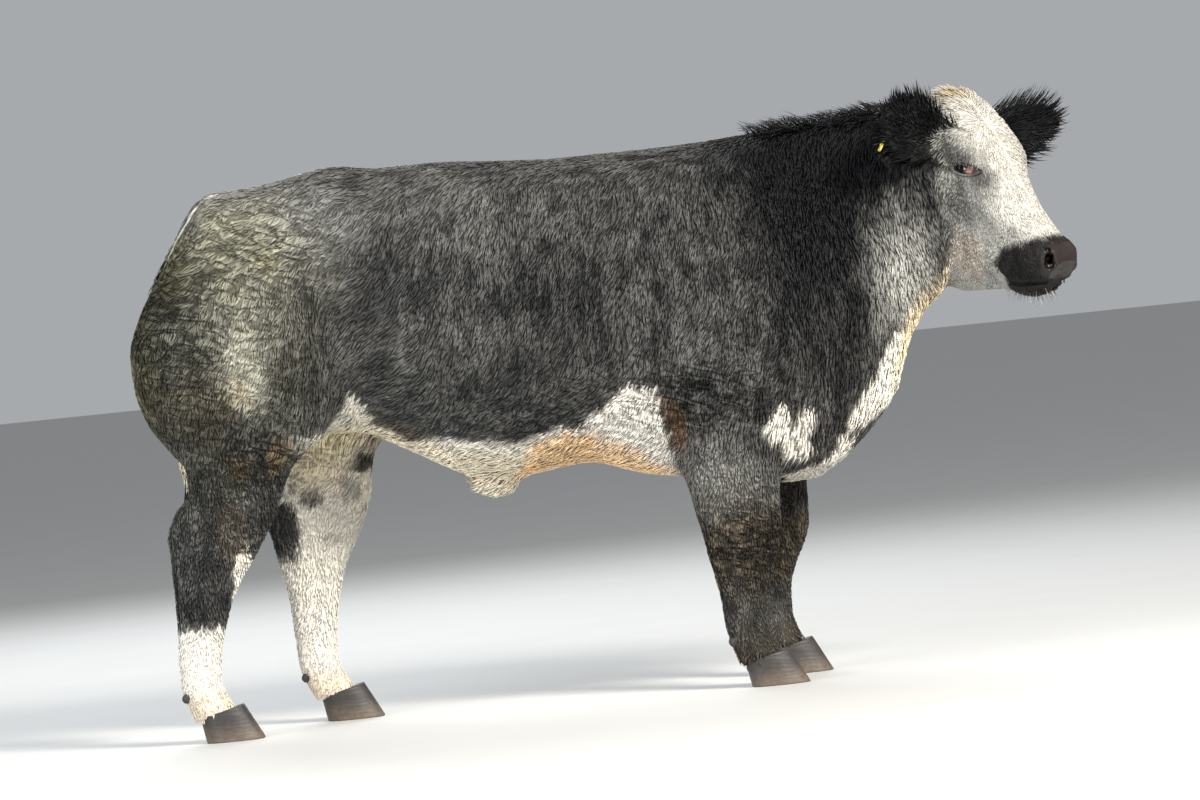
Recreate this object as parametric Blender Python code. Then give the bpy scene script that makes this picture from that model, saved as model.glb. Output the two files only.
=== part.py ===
"""Belgian blue steer, a still life-size model standing square on a level floor.

The animal faces +X with its right side on -Y.  Its body is one smooth solid: tubes carried along straight
axes from tables of named stations, blended where they meet, with muscles and hollows added as soft swells.
The solid is meshed, thinned and parted into the pieces that a person would name, with 0.3 mm between them.
Sizes in the tables are outline units; SIZE turns them into metres.
"""
import math

import bmesh
import bpy
import numpy as np
import openvdb
from mathutils import Matrix, Vector

SIZE = 0.94            # metres in one outline unit: 1.32 units at the withers is 1.24 m
MID_X = 0.2492         # outline X that becomes the middle of the box
MID_Y = 0.0003         # outline Y that becomes the middle of the box
GAP = 0.0003 / SIZE    # what touching pieces keep between them

STANCE_HIND = ((0.0, 0.282), (0.1, 0.274), (0.2, 0.266), (0.31, 0.254), (0.42, 0.234), (0.55, 0.212), (0.75, 0.138), (1.0, 0.0))
STANCE_FORE = ((0.0, 0.070), (0.2, 0.072), (0.3, 0.077), (0.45, 0.080), (0.6, 0.062), (0.85, 0.0), (1.0, 0.0))

# Beam tables run along +X: X, lowest Z, Z of the widest line, highest Z, sideways middle, half width.
TRUNK = (
    (-0.880, 0.860, 0.960, 1.060, 0.0, 0.100),
    (-0.840, 0.800, 0.970, 1.130, 0.0, 0.190),
    (-0.780, 0.745, 0.985, 1.235, 0.0, 0.240),
    (-0.700, 0.725, 1.000, 1.324, 0.0, 0.268),
    (-0.560, 0.715, 1.020, 1.336, 0.0, 0.280),
    (-0.400, 0.708, 1.010, 1.360, 0.0, 0.285),
    (-0.280, 0.655, 0.960, 1.343, 0.0, 0.292),
    (-0.150, 0.588, 0.930, 1.341, 0.0, 0.312),
    (0.000, 0.567, 0.910, 1.331, 0.0, 0.330),
    (0.150, 0.580, 0.905, 1.325, 0.0, 0.332),
    (0.300, 0.534, 0.900, 1.326, 0.0, 0.322),
    (0.450, 0.505, 0.890, 1.324, 0.0, 0.310),
    (0.600, 0.480, 0.880, 1.318, 0.0, 0.290),
    (0.700, 0.486, 0.870, 1.270, 0.0, 0.255),
    (0.780, 0.541, 0.850, 1.180, 0.0, 0.215),
    (0.850, 0.608, 0.830, 1.080, 0.0, 0.165),
    (0.905, 0.680, 0.820, 0.960, 0.0, 0.090),
)
NECK = (
    (0.350, 0.740, 1.000, 1.240, 0.0, 0.165),
    (0.500, 0.680, 1.000, 1.285, 0.0, 0.190),
    (0.600, 0.620, 1.000, 1.314, 0.0, 0.196),
    (0.680, 0.590, 1.000, 1.334, 0.0, 0.190),
    (0.760, 0.590, 0.995, 1.346, -0.002, 0.180),
    (0.850, 0.635, 1.005, 1.354, -0.010, 0.163),
    (0.900, 0.680, 1.020, 1.358, -0.018, 0.154),
    (0.950, 0.790, 1.065, 1.361, -0.028, 0.145),
    (1.000, 0.862, 1.100, 1.362, -0.042, 0.135),
    (1.045, 0.897, 1.120, 1.358, -0.056, 0.122),
    (1.090, 0.965, 1.150, 1.325, -0.070, 0.098),
)
# Leg tables run down from the body: Z, hindmost X, widest X, foremost X, distance from the middle, half width.
HIND = (
    (1.160, -0.810, -0.660, -0.500, 0.165, 0.085),
    (1.100, -0.850, -0.680, -0.465, 0.180, 0.120),
    (1.030, -0.888, -0.700, -0.440, 0.188, 0.145),
    (0.940, -0.918, -0.715, -0.430, 0.190, 0.158),
    (0.860, -0.915, -0.725, -0.435, 0.186, 0.155),
    (0.780, -0.894, -0.730, -0.450, 0.180, 0.138),
    (0.710, -0.851, -0.720, -0.487, 0.174, 0.116),
    (0.655, -0.817, -0.712, -0.547, 0.171, 0.098),
    (0.600, -0.818, -0.724, -0.580, 0.169, 0.080),
    (0.555, -0.856, -0.745, -0.599, 0.168, 0.066),
    (0.500, -0.873, -0.767, -0.628, 0.167, 0.057),
    (0.436, -0.876, -0.787, -0.669, 0.166, 0.054),
    (0.380, -0.876, -0.803, -0.710, 0.166, 0.050),
    (0.309, -0.876, -0.813, -0.744, 0.166, 0.046),
    (0.218, -0.882, -0.825, -0.770, 0.166, 0.045),
    (0.150, -0.885, -0.830, -0.778, 0.166, 0.051),
    (0.115, -0.880, -0.826, -0.770, 0.166, 0.050),
    (0.060, -0.860, -0.800, -0.740, 0.166, 0.050),
    (0.030, -0.850, -0.790, -0.730, 0.166, 0.045),
)
FORE = (
    (1.020, 0.330, 0.500, 0.660, 0.185, 0.080),
    (0.920, 0.290, 0.500, 0.720, 0.200, 0.115),
    (0.820, 0.290, 0.500, 0.735, 0.205, 0.130),
    (0.730, 0.315, 0.500, 0.700, 0.202, 0.120),
    (0.650, 0.345, 0.490, 0.650, 0.192, 0.100),
    (0.580, 0.366, 0.490, 0.620, 0.182, 0.085),
    (0.520, 0.379, 0.490, 0.608, 0.174, 0.074),
    (0.450, 0.391, 0.495, 0.604, 0.168, 0.066),
    (0.370, 0.407, 0.502, 0.600, 0.163, 0.060),
    (0.330, 0.413, 0.500, 0.588, 0.162, 0.058),
    (0.280, 0.423, 0.495, 0.566, 0.161, 0.050),
    (0.220, 0.433, 0.492, 0.549, 0.161, 0.046),
    (0.155, 0.437, 0.492, 0.547, 0.161, 0.052),
    (0.115, 0.445, 0.502, 0.556, 0.161, 0.051),
    (0.060, 0.462, 0.522, 0.582, 0.161, 0.052),
    (0.030, 0.472, 0.532, 0.592, 0.161, 0.046),
)
TAIL = (
    (1.275, -0.758, -0.722, -0.690, 0.0, 0.040),
    (1.220, -0.796, -0.762, -0.730, 0.0, 0.036),
    (1.160, -0.836, -0.804, -0.775, 0.0, 0.032),
    (1.100, -0.872, -0.844, -0.818, 0.0, 0.029),
    (1.030, -0.896, -0.870, -0.845, 0.0, 0.026),
    (0.940, -0.903, -0.880, -0.857, 0.0, 0.023),
    (0.820, -0.890, -0.868, -0.846, 0.0, 0.021),
    (0.700, -0.850, -0.830, -0.810, 0.0, 0.019),
    (0.600, -0.830, -0.812, -0.794, 0.0, 0.017),
    (0.480, -0.820, -0.804, -0.788, 0.0, 0.016),
)
SWITCH = (
    (0.580, -0.826, -0.808, -0.790, 0.0, 0.016),
    (0.520, -0.840, -0.805, -0.770, 0.0, 0.034),
    (0.440, -0.846, -0.802, -0.758, 0.0, 0.044),
    (0.360, -0.838, -0.800, -0.762, 0.0, 0.040),
    (0.290, -0.820, -0.798, -0.776, 0.0, 0.024),
    (0.250, -0.806, -0.798, -0.790, 0.0, 0.008),
)

# The head has its own frame: along the face from the poll, to the animal's left, and out of the forehead.
HEAD_POLL = (1.112, -0.075, 1.3960)
HEAD_PITCH = math.radians(45.0)
HEAD_YAW = math.radians(42.0)
# Along the face: reach from the poll, jaw side, level of the widest line, forehead side, middle, half width.
HEAD = (
    (-0.050, -0.150, -0.105, -0.090, 0.0, 0.045),
    (-0.020, -0.200, -0.090, -0.046, 0.0, 0.066),
    (0.030, -0.262, -0.085, -0.004, 0.0, 0.086),
    (0.090, -0.325, -0.082, 0.010, 0.0, 0.100),
    (0.160, -0.360, -0.080, 0.010, 0.0, 0.107),
    (0.220, -0.380, -0.085, -0.006, 0.0, 0.105),
    (0.285, -0.382, -0.100, -0.031, 0.0, 0.094),
    (0.335, -0.366, -0.120, -0.050, 0.0, 0.083),
    (0.390, -0.320, -0.130, -0.064, 0.0, 0.074),
    (0.445, -0.270, -0.130, -0.072, 0.0, 0.069),
    (0.490, -0.244, -0.130, -0.075, 0.0, 0.067),
    (0.522, -0.222, -0.130, -0.083, 0.0, 0.060),
    (0.540, -0.195, -0.130, -0.095, 0.0, 0.043),
)
EYE = (0.221, 0.0835, -0.0735)      # in the head frame, the left one at +
EYE_RADIUS = 0.0225
EYE_TILT = math.radians(-31.0)    # the inner corner is nearer the nose
# Each ear: root, straight way out, way the cup opens, length, half breadth.
EAR_ROOT = (0.092, 0.080, -0.090)
EAR_LONG = 0.232
EAR_BROAD = 0.068
# Along the ear: share of its length, half breadth as a share of the full one, curl of its cup, thickness.
EAR_SECTIONS = (
    (0.00, 0.50, 0.75, 0.020),
    (0.12, 0.66, 0.67, 0.015),
    (0.30, 0.93, 0.55, 0.012),
    (0.50, 1.00, 0.45, 0.010),
    (0.70, 0.90, 0.34, 0.009),
    (0.86, 0.62, 0.22, 0.008),
    (0.95, 0.36, 0.14, 0.007),
    (1.00, 0.08, 0.10, 0.007),
)
# Tags: share of the ear's length and of its half breadth below its middle where each hangs.
TAG_PLACE = {False: (0.80, 0.66), True: (0.66, 0.80)}
# Locks of long hair: length, breadth past the root, thickness.
CREST_LOCK = (0.042, 0.022, 0.010)
EAR_LOCK = (0.046, 0.021, 0.008)
SWITCH_LOCK = (0.130, 0.026, 0.012)

# Swells: middle, reach along the three axes, turn about the sideways axis in degrees, height outwards.
TRUNK_SWELLS = {
    "shoulder blade": ((0.50, 0.27, 1.00), (0.12, 0.12, 0.20), 22, 0.016),
    "triceps": ((0.36, 0.32, 0.80), (0.10, 0.10, 0.13), 0, 0.014),
    "point of shoulder": ((0.74, 0.20, 0.80), (0.09, 0.10, 0.10), 0, 0.022),
    "hollow behind shoulder": ((0.235, 0.30, 0.98), (0.045, 0.12, 0.22), 0, -0.014),
    "hollow before shoulder": ((0.68, 0.20, 1.06), (0.05, 0.10, 0.16), 22, -0.014),
    "long loin muscle": ((-0.16, 0.095, 1.33), (0.34, 0.055, 0.06), 0, 0.012),
    "spine groove": ((-0.20, 0.0, 1.36), (0.42, 0.028, 0.08), 0, -0.010),
    "hook bone": ((-0.42, 0.22, 1.27), (0.055, 0.06, 0.05), 0, 0.016),
    "flank hollow": ((-0.30, 0.28, 1.05), (0.07, 0.09, 0.11), 0, -0.018),
    "rib spring": ((0.02, 0.32, 0.95), (0.18, 0.10, 0.22), 0, 0.010),
    "flank fold": ((-0.36, 0.22, 0.76), (0.08, 0.06, 0.07), 0, 0.010),
    "sheath": ((-0.083, 0.0, 0.540), (0.052, 0.036, 0.050), 0, 0.082),
    "brisket": ((0.68, 0.0, 0.52), (0.09, 0.06, 0.06), 0, 0.010),
    "tail head": ((-0.765, 0.0, 1.275), (0.08, 0.040, 0.06), 30, 0.014),
    "buttock cleft": ((-0.92, 0.0, 0.97), (0.09, 0.028, 0.26), 0, -0.050),
}
HIND_SWELLS = {
    "rump muscle": ((-0.62, 0.26, 1.12), (0.12, 0.12, 0.12), 0, 0.016),
    "outer thigh": ((-0.66, 0.33, 0.92), (0.11, 0.10, 0.15), -12, 0.018),
    "rear thigh": ((-0.86, 0.25, 0.92), (0.06, 0.10, 0.16), 0, 0.016),
    "thigh seam": ((-0.775, 0.33, 0.93), (0.022, 0.10, 0.17), -8, -0.014),
    "front thigh": ((-0.53, 0.30, 0.86), (0.07, 0.10, 0.15), 18, 0.010),
    "stifle": ((-0.49, 0.22, 0.72), (0.05, 0.06, 0.06), 0, 0.008),
    "hock point": ((-0.873, 0.167, 0.505), (0.022, 0.03, 0.03), 0, 0.006),
    "tendon hollow": ((-0.838, 0.215, 0.60), (0.022, 0.03, 0.06), 10, -0.012),
}
FORE_SWELLS = {
    "upper arm": ((0.50, 0.32, 0.72), (0.10, 0.10, 0.11), 0, 0.012),
    "elbow": ((0.36, 0.26, 0.66), (0.045, 0.06, 0.05), 0, 0.010),
    "forearm": ((0.52, 0.24, 0.56), (0.07, 0.05, 0.09), 0, 0.008),
    "knee": ((0.56, 0.163, 0.345), (0.035, 0.05, 0.045), 0, 0.004),
}
HEAD_SWELLS = {
    "poll": ((0.036, 0.0, -0.010), (0.060, 0.070, 0.045), 0, 0.019),
    "forehead corner": ((0.100, 0.066, -0.012), (0.090, 0.045, 0.045), 0, 0.018),
    "forehead dip": ((0.150, 0.0, 0.010), (0.070, 0.030, 0.050), 0, -0.005),
    "brow": ((0.199, 0.094, -0.037), (0.050, 0.030, 0.026), 0, 0.018),
    "eye mound": ((0.216, 0.092, -0.071), (0.046, 0.030, 0.036), 0, 0.008),
    "behind the eye": ((0.147, 0.100, -0.095), (0.030, 0.030, 0.030), 0, -0.012),
    "before the eye": ((0.290, 0.085, -0.075), (0.035, 0.030, 0.022), 0, -0.008),
    "cheekbone": ((0.290, 0.085, -0.112), (0.070, 0.022, 0.016), -12, 0.010),
    "cheek": ((0.240, 0.090, -0.210), (0.070, 0.050, 0.070), 0, 0.010),
    "jaw edge hollow": ((0.335, 0.075, -0.185), (0.045, 0.040, 0.040), 0, -0.010),
    "nose bridge": ((0.390, 0.0, -0.053), (0.09, 0.035, 0.03), 0, 0.004),
    "upper lip": ((0.498, 0.055, -0.135), (0.040, 0.030, 0.034), 0, 0.012),
    "nostril rim": ((0.516, 0.050, -0.100), (0.030, 0.022, 0.028), 0, 0.009),
    "chin": ((0.484, 0.0, -0.226), (0.045, 0.045, 0.030), 0, 0.010),
    "throat": ((0.200, 0.0, -0.36), (0.08, 0.050, 0.05), 0, -0.006),
}
NOSTRIL = ((0.524, 0.052, -0.106), (0.016, 0.011, 0.015), 28, -0.022)
MOUTH_LINE = ((0.405, 0.213), (0.429, 0.231), (0.457, 0.231), (0.491, 0.211), (0.529, 0.174), (0.548, 0.156))


def through(rows, count=500):
    """The rows carried through smoothly: cubics between stations that never overshoot, read at even steps."""
    rows = np.array(sorted(rows), dtype=float)
    x, y = rows[:, 0], rows[:, 1:]
    step = np.diff(x)[:, None]
    rise = np.diff(y, axis=0) / step
    slope = np.zeros_like(y)
    slope[0], slope[-1] = rise[0], rise[-1]
    before, after = 2 * step[1:] + step[:-1], step[1:] + 2 * step[:-1]
    same = rise[:-1] * rise[1:] > 0
    safe = np.where(same, rise[:-1], 1.0), np.where(same, rise[1:], 1.0)
    slope[1:-1] = np.where(same, (before + after) / (before / safe[0] + after / safe[1]), 0.0)
    at = np.linspace(x[0], x[-1], count)
    i = np.clip(np.searchsorted(x, at, side="right") - 1, 0, len(x) - 2)
    h = step[i]
    t = ((at - x[i]) / h[:, 0])[:, None]
    values = (
        (2 * t**3 - 3 * t**2 + 1) * y[i]
        + (t**3 - 2 * t**2 + t) * h * slope[i]
        + (3 * t**2 - 2 * t**3) * y[i + 1]
        + (t**3 - t**2) * h * slope[i + 1]
    )
    return at, values


def read(track, at):
    return [np.interp(at, track[0], column) for column in track[1].T]


def tube(along, up, side, track, power=2.0):
    """How far a point lies outside a tube: its distance past the superellipse section at its own station."""
    low, wide, high, middle, half = read(track, along)
    b = up - wide
    a = side - middle
    reach = np.where(b > 0, high - wide, wide - low)
    out = np.hypot(a, b) + 1e-9
    share = ((np.abs(a) / half) ** power + (np.abs(b) / reach) ** power) ** (1.0 / power) + 1e-9
    far = out * (1.0 - 1.0 / share)
    past = along - np.clip(along, track[0][0], track[0][-1])
    return np.where(past == 0, far, np.hypot(np.maximum(far, 0), past))


def blend(a, b, width):
    """The nearer of two surfaces, rounded off where they meet within the given width."""
    h = np.maximum(width - np.abs(a - b), 0) / width
    return np.minimum(a, b) - h**3 * width / 6.0


def swell(x, y, z, middle, reach, turn, height):
    """A soft bell of the given height, longest along its own axis, which is turned in the upright plane."""
    c, s = math.cos(math.radians(turn)), math.sin(math.radians(turn))
    dx, dy, dz = x - middle[0], y - middle[1], z - middle[2]
    return height * np.exp(
        -(((c * dx + s * dz) / reach[0]) ** 2 + (dy / reach[1]) ** 2 + ((c * dz - s * dx) / reach[2]) ** 2)
    )


TRACKS = {
    "trunk": through(TRUNK), "neck": through(NECK), "hind": through(HIND), "fore": through(FORE),
    "tail": through(TAIL), "switch": through(SWITCH), "head": through(HEAD),
    "stance hind": through(STANCE_HIND), "stance fore": through(STANCE_FORE),
}


def stance(kind, z, left):
    """How far forward of the right leg the left one stands at each height."""
    return np.where(left, read(TRACKS["stance " + kind], np.clip(z, 0, 1))[0], 0.0)


def leg(kind, x, y, z, swells):
    left = y > 0
    x = x - stance(kind, z, left)
    out = tube(z, x, np.abs(y), TRACKS[kind], 2.15)
    for values in swells.values():
        out = out - swell(x, np.abs(y), z, *values)
    return out


def tail_dock(x, y, z):
    return tube(z, x, y, TRACKS["tail"])


def body(x, y, z):
    """Trunk, neck and legs as one blended solid."""
    side = np.abs(y)
    out = tube(x, z, y, TRACKS["trunk"], 2.25)
    for values in TRUNK_SWELLS.values():
        out = out - swell(x, side, z, *values)
    out = blend(out, tube(x, z, y, TRACKS["neck"], 2.1), 0.12)
    out = blend(out, leg("fore", x, y, z, FORE_SWELLS), 0.10)
    hind = leg("hind", x, y, z, HIND_SWELLS)
    cleft = swell(x, side, z, (-0.93, 0.0, 0.93), (0.13, 0.030, 0.30), 0, -0.060)
    return blend(out, hind, 0.09) - cleft


def head_axes():
    cp, sp, cy, sy = math.cos(HEAD_PITCH), math.sin(HEAD_PITCH), math.cos(HEAD_YAW), math.sin(HEAD_YAW)
    return np.array(((cp * cy, -cp * sy, -sp), (sy, cy, 0.0), (sp * cy, -sp * sy, cp)))


HEAD_AXES = head_axes()


def to_head(x, y, z):
    d = (x - HEAD_POLL[0], y - HEAD_POLL[1], z - HEAD_POLL[2])
    return [sum(row[i] * d[i] for i in range(3)) for row in HEAD_AXES]


def from_head(point):
    return np.array(HEAD_POLL) + np.array(point) @ HEAD_AXES


def ear_frame(left):
    """Root and the three ways of an ear: out to its tip, across its breadth, and out of its cup."""
    sign = 1.0 if left else -1.0
    root = from_head((EAR_ROOT[0], sign * EAR_ROOT[1], EAR_ROOT[2]))
    forward = np.array((math.cos(HEAD_YAW), -math.sin(HEAD_YAW), 0.0))
    sideways = sign * HEAD_AXES[1]
    swing = math.radians(24.0 if left else 8.0)
    lift = math.radians(5.0 if left else 17.0)
    way = math.cos(lift) * (math.cos(swing) * sideways + math.sin(swing) * forward)
    way = way + np.array((0, 0, math.sin(lift)))
    opens = math.cos(math.radians(25)) * forward + np.array((0, 0, -math.sin(math.radians(25))))
    opens = opens - way * (opens @ way)
    opens /= np.linalg.norm(opens)
    across = np.cross(opens, way)
    across *= np.sign(across[2])
    return root, way, across, opens


EAR_FRAMES = {left: ear_frame(left) for left in (False, True)}


def tag_frame(left):
    """Where a tag hangs from an ear's lower edge, and its ways: along its breadth, up, and out of its face."""
    root, way, across, opens = EAR_FRAMES[left]
    along, below = TAG_PLACE[left]
    middle = root + way * EAR_LONG * along - across * EAR_BROAD * below
    face = np.cross(across, (0.10, -1.0, 0.0))
    face /= np.linalg.norm(face)
    return middle, (np.cross(across, face), across, face)


def ear_section(t):
    share, *columns = zip(*EAR_SECTIONS)
    half, curl, thick = (np.interp(t, share, column) for column in columns)
    return half * EAR_BROAD, curl, thick


def ear(x, y, z, left):
    """A leaf-shaped shell, curled into a tube at its root and opening towards its tip."""
    root, way, across, opens = EAR_FRAMES[left]
    d = (x - root[0], y - root[1], z - root[2])
    u = sum(way[i] * d[i] for i in range(3)) / EAR_LONG
    w = sum(across[i] * d[i] for i in range(3))
    g = sum(opens[i] * d[i] for i in range(3))
    t = np.clip(u, 0.0, 1.0)
    half, curl, thick = ear_section(t)
    share = np.clip(w / half, -1.2, 1.2)
    bowl = g - curl * half * (share**2 - 0.45)
    bowl = np.abs(bowl) / np.sqrt(1 + (2 * curl * share) ** 2) - thick
    edge = np.abs(w) - half
    end = (u - t) * EAR_LONG
    out = np.maximum(bowl, edge)
    return np.where(end == 0, out, np.hypot(np.maximum(out, 0), end))


def mouth_groove(s, t, b, depth):
    """A shallow groove along the lips' meeting line, from the corner of the mouth round the front."""
    line = np.interp(s, [p[0] for p in MOUTH_LINE], [-p[1] for p in MOUTH_LINE])
    start = 1.0 / (1.0 + np.exp(-(s - 0.412) / 0.006))
    return -depth * start * np.exp(-(((b - line) / 0.0055) ** 2))


def head(x, y, z):
    s, t, b = to_head(x, y, z)
    side = np.abs(t)
    out = tube(s, b, side, TRACKS["head"], 2.2)
    for values in HEAD_SWELLS.values():
        out = out - swell(s, side, b, *values)
    out = out - swell(s, side, b, *NOSTRIL) - mouth_groove(s, side, b, 0.005)
    return out


def eye_middle(left):
    return from_head((EYE[0], EYE[1] if left else -EYE[1], EYE[2]))


def whole(x, y, z, ears=True):
    """The flesh of the whole animal with its coat, hooves and the hanging tail apart."""
    out = blend(body(x, y, z), head(x, y, z), 0.05)
    out = blend(out, np.maximum(tail_dock(x, y, z), 1.10 - z), 0.05)
    for left in (False, True):
        middle = eye_middle(left)
        ball = np.sqrt((x - middle[0]) ** 2 + (y - middle[1]) ** 2 + (z - middle[2]) ** 2) - EYE_RADIUS - 0.005
        out = blend(out, ball, 0.020)
        if ears:
            out = blend(out, ear(x, y, z, left), 0.02)
    return out


def without_ears(x, y, z):
    return whole(x, y, z, ears=False)


def meshed(name, field, low, high, step):
    """A closed mesh of where the field is below zero inside the box, in outline units."""
    low, high = np.array(low) - 2 * step, np.array(high) + 2 * step
    counts = np.ceil((high - low) / step).astype(int) + 1
    axes = [low[i] + step * np.arange(counts[i]) for i in range(3)]
    x, y, z = np.meshgrid(*axes, indexing="ij")
    values = field(x, y, z)
    for i, grid in enumerate((x, y, z)):
        values = np.maximum(values, np.maximum(low[i] + 1.5 * step - grid, grid - high[i] + 1.5 * step))
    grid = openvdb.FloatGrid(background=1.0)
    grid.copyFromArray((values / step).astype(np.float32))
    points, quads = grid.convertToQuads(isovalue=0.0)
    points = points * step + low
    mesh = bpy.data.meshes.new(name)
    mesh.from_pydata(points.tolist(), [], quads[:, ::-1].tolist())
    made = bpy.data.objects.new(name, mesh)
    bpy.context.scene.collection.objects.link(made)
    return made


def settled(made, field, low, high, step, rounds=3):
    """Moves the vertices inside the box onto the field's own surface, down its slope."""
    mesh = made.data
    points = np.empty(len(mesh.vertices) * 3)
    mesh.vertices.foreach_get("co", points)
    points = points.reshape(-1, 3)
    inner = np.all((points > np.array(low) + 0.2 * step) & (points < np.array(high) - 0.2 * step), axis=1)
    moved = points[inner]
    for _ in range(rounds):
        value = field(*moved.T)
        slope = np.stack(
            [(field(*(moved + d).T) - field(*(moved - d).T)) / 0.002 for d in np.eye(3) * 0.001], axis=1
        )
        size = np.maximum((slope**2).sum(axis=1), 0.25)
        shift = (value / size)[:, None] * slope
        length = np.linalg.norm(shift, axis=1, keepdims=True)
        moved = moved - shift * np.minimum(1.0, 0.5 * step / np.maximum(length, 1e-9))
    points[inner] = moved
    mesh.vertices.foreach_set("co", points.ravel())
    mesh.update()


def applied(made, kind, **settings):
    """Applies one modifier to an object and leaves its plain mesh."""
    modifier = made.modifiers.new(kind.title(), kind)
    for key, value in settings.items():
        setattr(modifier, key, value)
    graph = bpy.context.evaluated_depsgraph_get()
    mesh = bpy.data.meshes.new_from_object(made.evaluated_get(graph))
    made.modifiers.clear()
    old = made.data
    made.data = mesh
    bpy.data.meshes.remove(old)
    return made


def thinned(made, triangles):
    made = applied(made, "TRIANGULATE")
    share = triangles / max(len(made.data.polygons), 1)
    return applied(made, "DECIMATE", ratio=share) if share < 1 else made


def largest(made):
    """Keeps only the closed surface that holds the most volume."""
    shape = bmesh.new()
    shape.from_mesh(made.data)
    shape.faces.ensure_lookup_table()
    left = set(shape.faces)
    groups = []
    while left:
        stack = [left.pop()]
        group = []
        while stack:
            face = stack.pop()
            group.append(face)
            for edge in face.edges:
                for other in edge.link_faces:
                    if other in left:
                        left.discard(other)
                        stack.append(other)
        groups.append(group)
    if len(groups) > 1:
        def volume(group):
            total = 0.0
            for face in group:
                c = [loop.vert.co for loop in face.loops]
                for i in range(1, len(c) - 1):
                    total += c[0].dot(c[i].cross(c[i + 1]))
            return total
        groups.sort(key=volume, reverse=True)
        bmesh.ops.delete(shape, geom=[f for g in groups[1:] for f in g], context="FACES")
    shape.to_mesh(made.data)
    shape.free()
    return made


def box(low, high, frame=None):
    """A plain box between two corners, in outline units or in a frame given as root and three ways."""
    corners = [(a, b, c) for a in (low[0], high[0]) for b in (low[1], high[1]) for c in (low[2], high[2])]
    if frame is not None:
        root, ways = frame
        corners = [tuple(np.array(root) + c[0] * ways[0] + c[1] * ways[1] + c[2] * ways[2]) for c in corners]
    faces = ((0, 1, 3, 2), (4, 6, 7, 5), (0, 4, 5, 1), (2, 3, 7, 6), (0, 2, 6, 4), (1, 5, 7, 3))
    mesh = bpy.data.meshes.new("box")
    mesh.from_pydata(corners, [], faces)
    shape = bmesh.new()
    shape.from_mesh(mesh)
    bmesh.ops.recalc_face_normals(shape, faces=shape.faces)
    shape.to_mesh(mesh)
    shape.free()
    made = bpy.data.objects.new("box", mesh)
    bpy.context.scene.collection.objects.link(made)
    return made


def combine(made, other, operation, keep=False, solver="EXACT"):
    """One Boolean, applied, with the other object removed unless it is kept."""
    applied(made, "BOOLEAN", object=other, operation=operation, solver=solver)
    if not keep:
        remove(other)
    return made


def remove(made):
    mesh = made.data
    bpy.data.objects.remove(made)
    bpy.data.meshes.remove(mesh)


def beyond(point, normal, size=1.5, lift=GAP / 2):
    """A big box that starts just past a plane, for cutting away what lies on its normal's side."""
    n = np.array(normal, float)
    n /= np.linalg.norm(n)
    start = np.array((0, 0, 1.0)) if abs(n[2]) < 0.9 else np.array((1.0, 0, 0))
    a = np.cross(n, start)
    a /= np.linalg.norm(a)
    b = np.cross(n, a)
    return box((-lift, -size, -size), (size, size, size), (point, (n, a, b)))


def cut(made, *planes):
    """Cuts away what lies past each plane, given as a point and its outward way."""
    for point, normal in planes:
        combine(made, beyond(point, normal), "DIFFERENCE")
    return largest(made)


# Where the pieces part.
NECK_BASE = ((0.790, 0.0, 1.000), (0.892, 0.0, 0.453))
HEAD_BASE = ((1.026, -0.06, 1.130), (0.925, -0.365, -0.105))
BARREL_FRONT = ((0.215, 0.0, 0.9), (1.0, 0.0, 0.0))
BARREL_REAR = ((-0.330, 0.0, 0.9), (1.0, 0.0, 0.0))
THIGH_TOP = 0.800
HOCK_TOP = 0.520
ELBOW = 0.600
KNEE_LOW = 0.300
CORONET = 0.070
TAIL_TOP = 1.150


def back_of(plane):
    return plane[0], tuple(-v for v in plane[1])


def lock(root, way, side, size, bend):
    """A flat tapering lock of hair, rooted below the surface and bending more towards its point."""
    long, broad, thick = size
    way = np.array(way) / np.linalg.norm(way)
    side = np.array(side) - way * (np.array(side) @ way)
    side /= np.linalg.norm(side)
    flat = np.cross(way, side)
    rings = []
    for t, share in ((-0.35, 0.9), (0.25, 1.0), (0.70, 0.62), (1.00, 0.10)):
        middle = np.array(root) + way * long * t + np.array(bend) * long * max(t, 0.0) ** 2
        a, b = side * broad * share / 2, flat * thick * share / 2
        rings.append([middle + a, middle + b, middle - a, middle - b])
    return loft("lock", rings)


def joined(made, locks):
    """Joins a bundle of locks to their piece in one union and keeps its one closed surface."""
    bundle = bpy.data.collections.new("locks")
    bpy.context.scene.collection.children.link(bundle)
    for item in locks:
        bundle.objects.link(item)
    applied(made, "BOOLEAN", operand_type="COLLECTION", collection=bundle, operation="UNION", solver="EXACT")
    for item in locks:
        remove(item)
    bpy.data.collections.remove(bundle)
    return largest(made)


def top_of(x, y):
    """Height of the animal's topline over each point, found by halving."""
    low, high = np.full_like(x, 1.0), np.full_like(x, 1.6)
    for _ in range(16):
        middle = (low + high) / 2
        inside = without_ears(x, y, middle) < 0
        low = np.where(inside, middle, low)
        high = np.where(inside, high, middle)
    return low


def crest_locks():
    """Two staggered rows of locks that stand up along the neck's crest and curl forward."""
    count = 28
    step = np.arange(count)
    x = np.linspace(0.650, 0.985, count)
    row = np.where(step % 2 == 0, 1.0, -1.0)
    y = np.interp(x, [r[0] for r in NECK], [r[4] for r in NECK]) + 0.018 * row
    z = top_of(x, y)
    locks = []
    for i in range(count):
        wave = math.sin(2.1 * i)
        long = CREST_LOCK[0] * (0.92 + 0.22 * wave) * (0.72 if x[i] < 0.70 else 1.0)
        way = (0.20 * math.cos(1.3 * i), 0.30 * row[i], 1.0)
        side = (1.0, 0.5 * wave, 0.0)
        bend = (0.42 + 0.12 * wave, 0.08 * row[i], -0.10)
        locks.append(lock((x[i], y[i], z[i]), way, side, (long, *CREST_LOCK[1:]), bend))
    return locks


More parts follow.
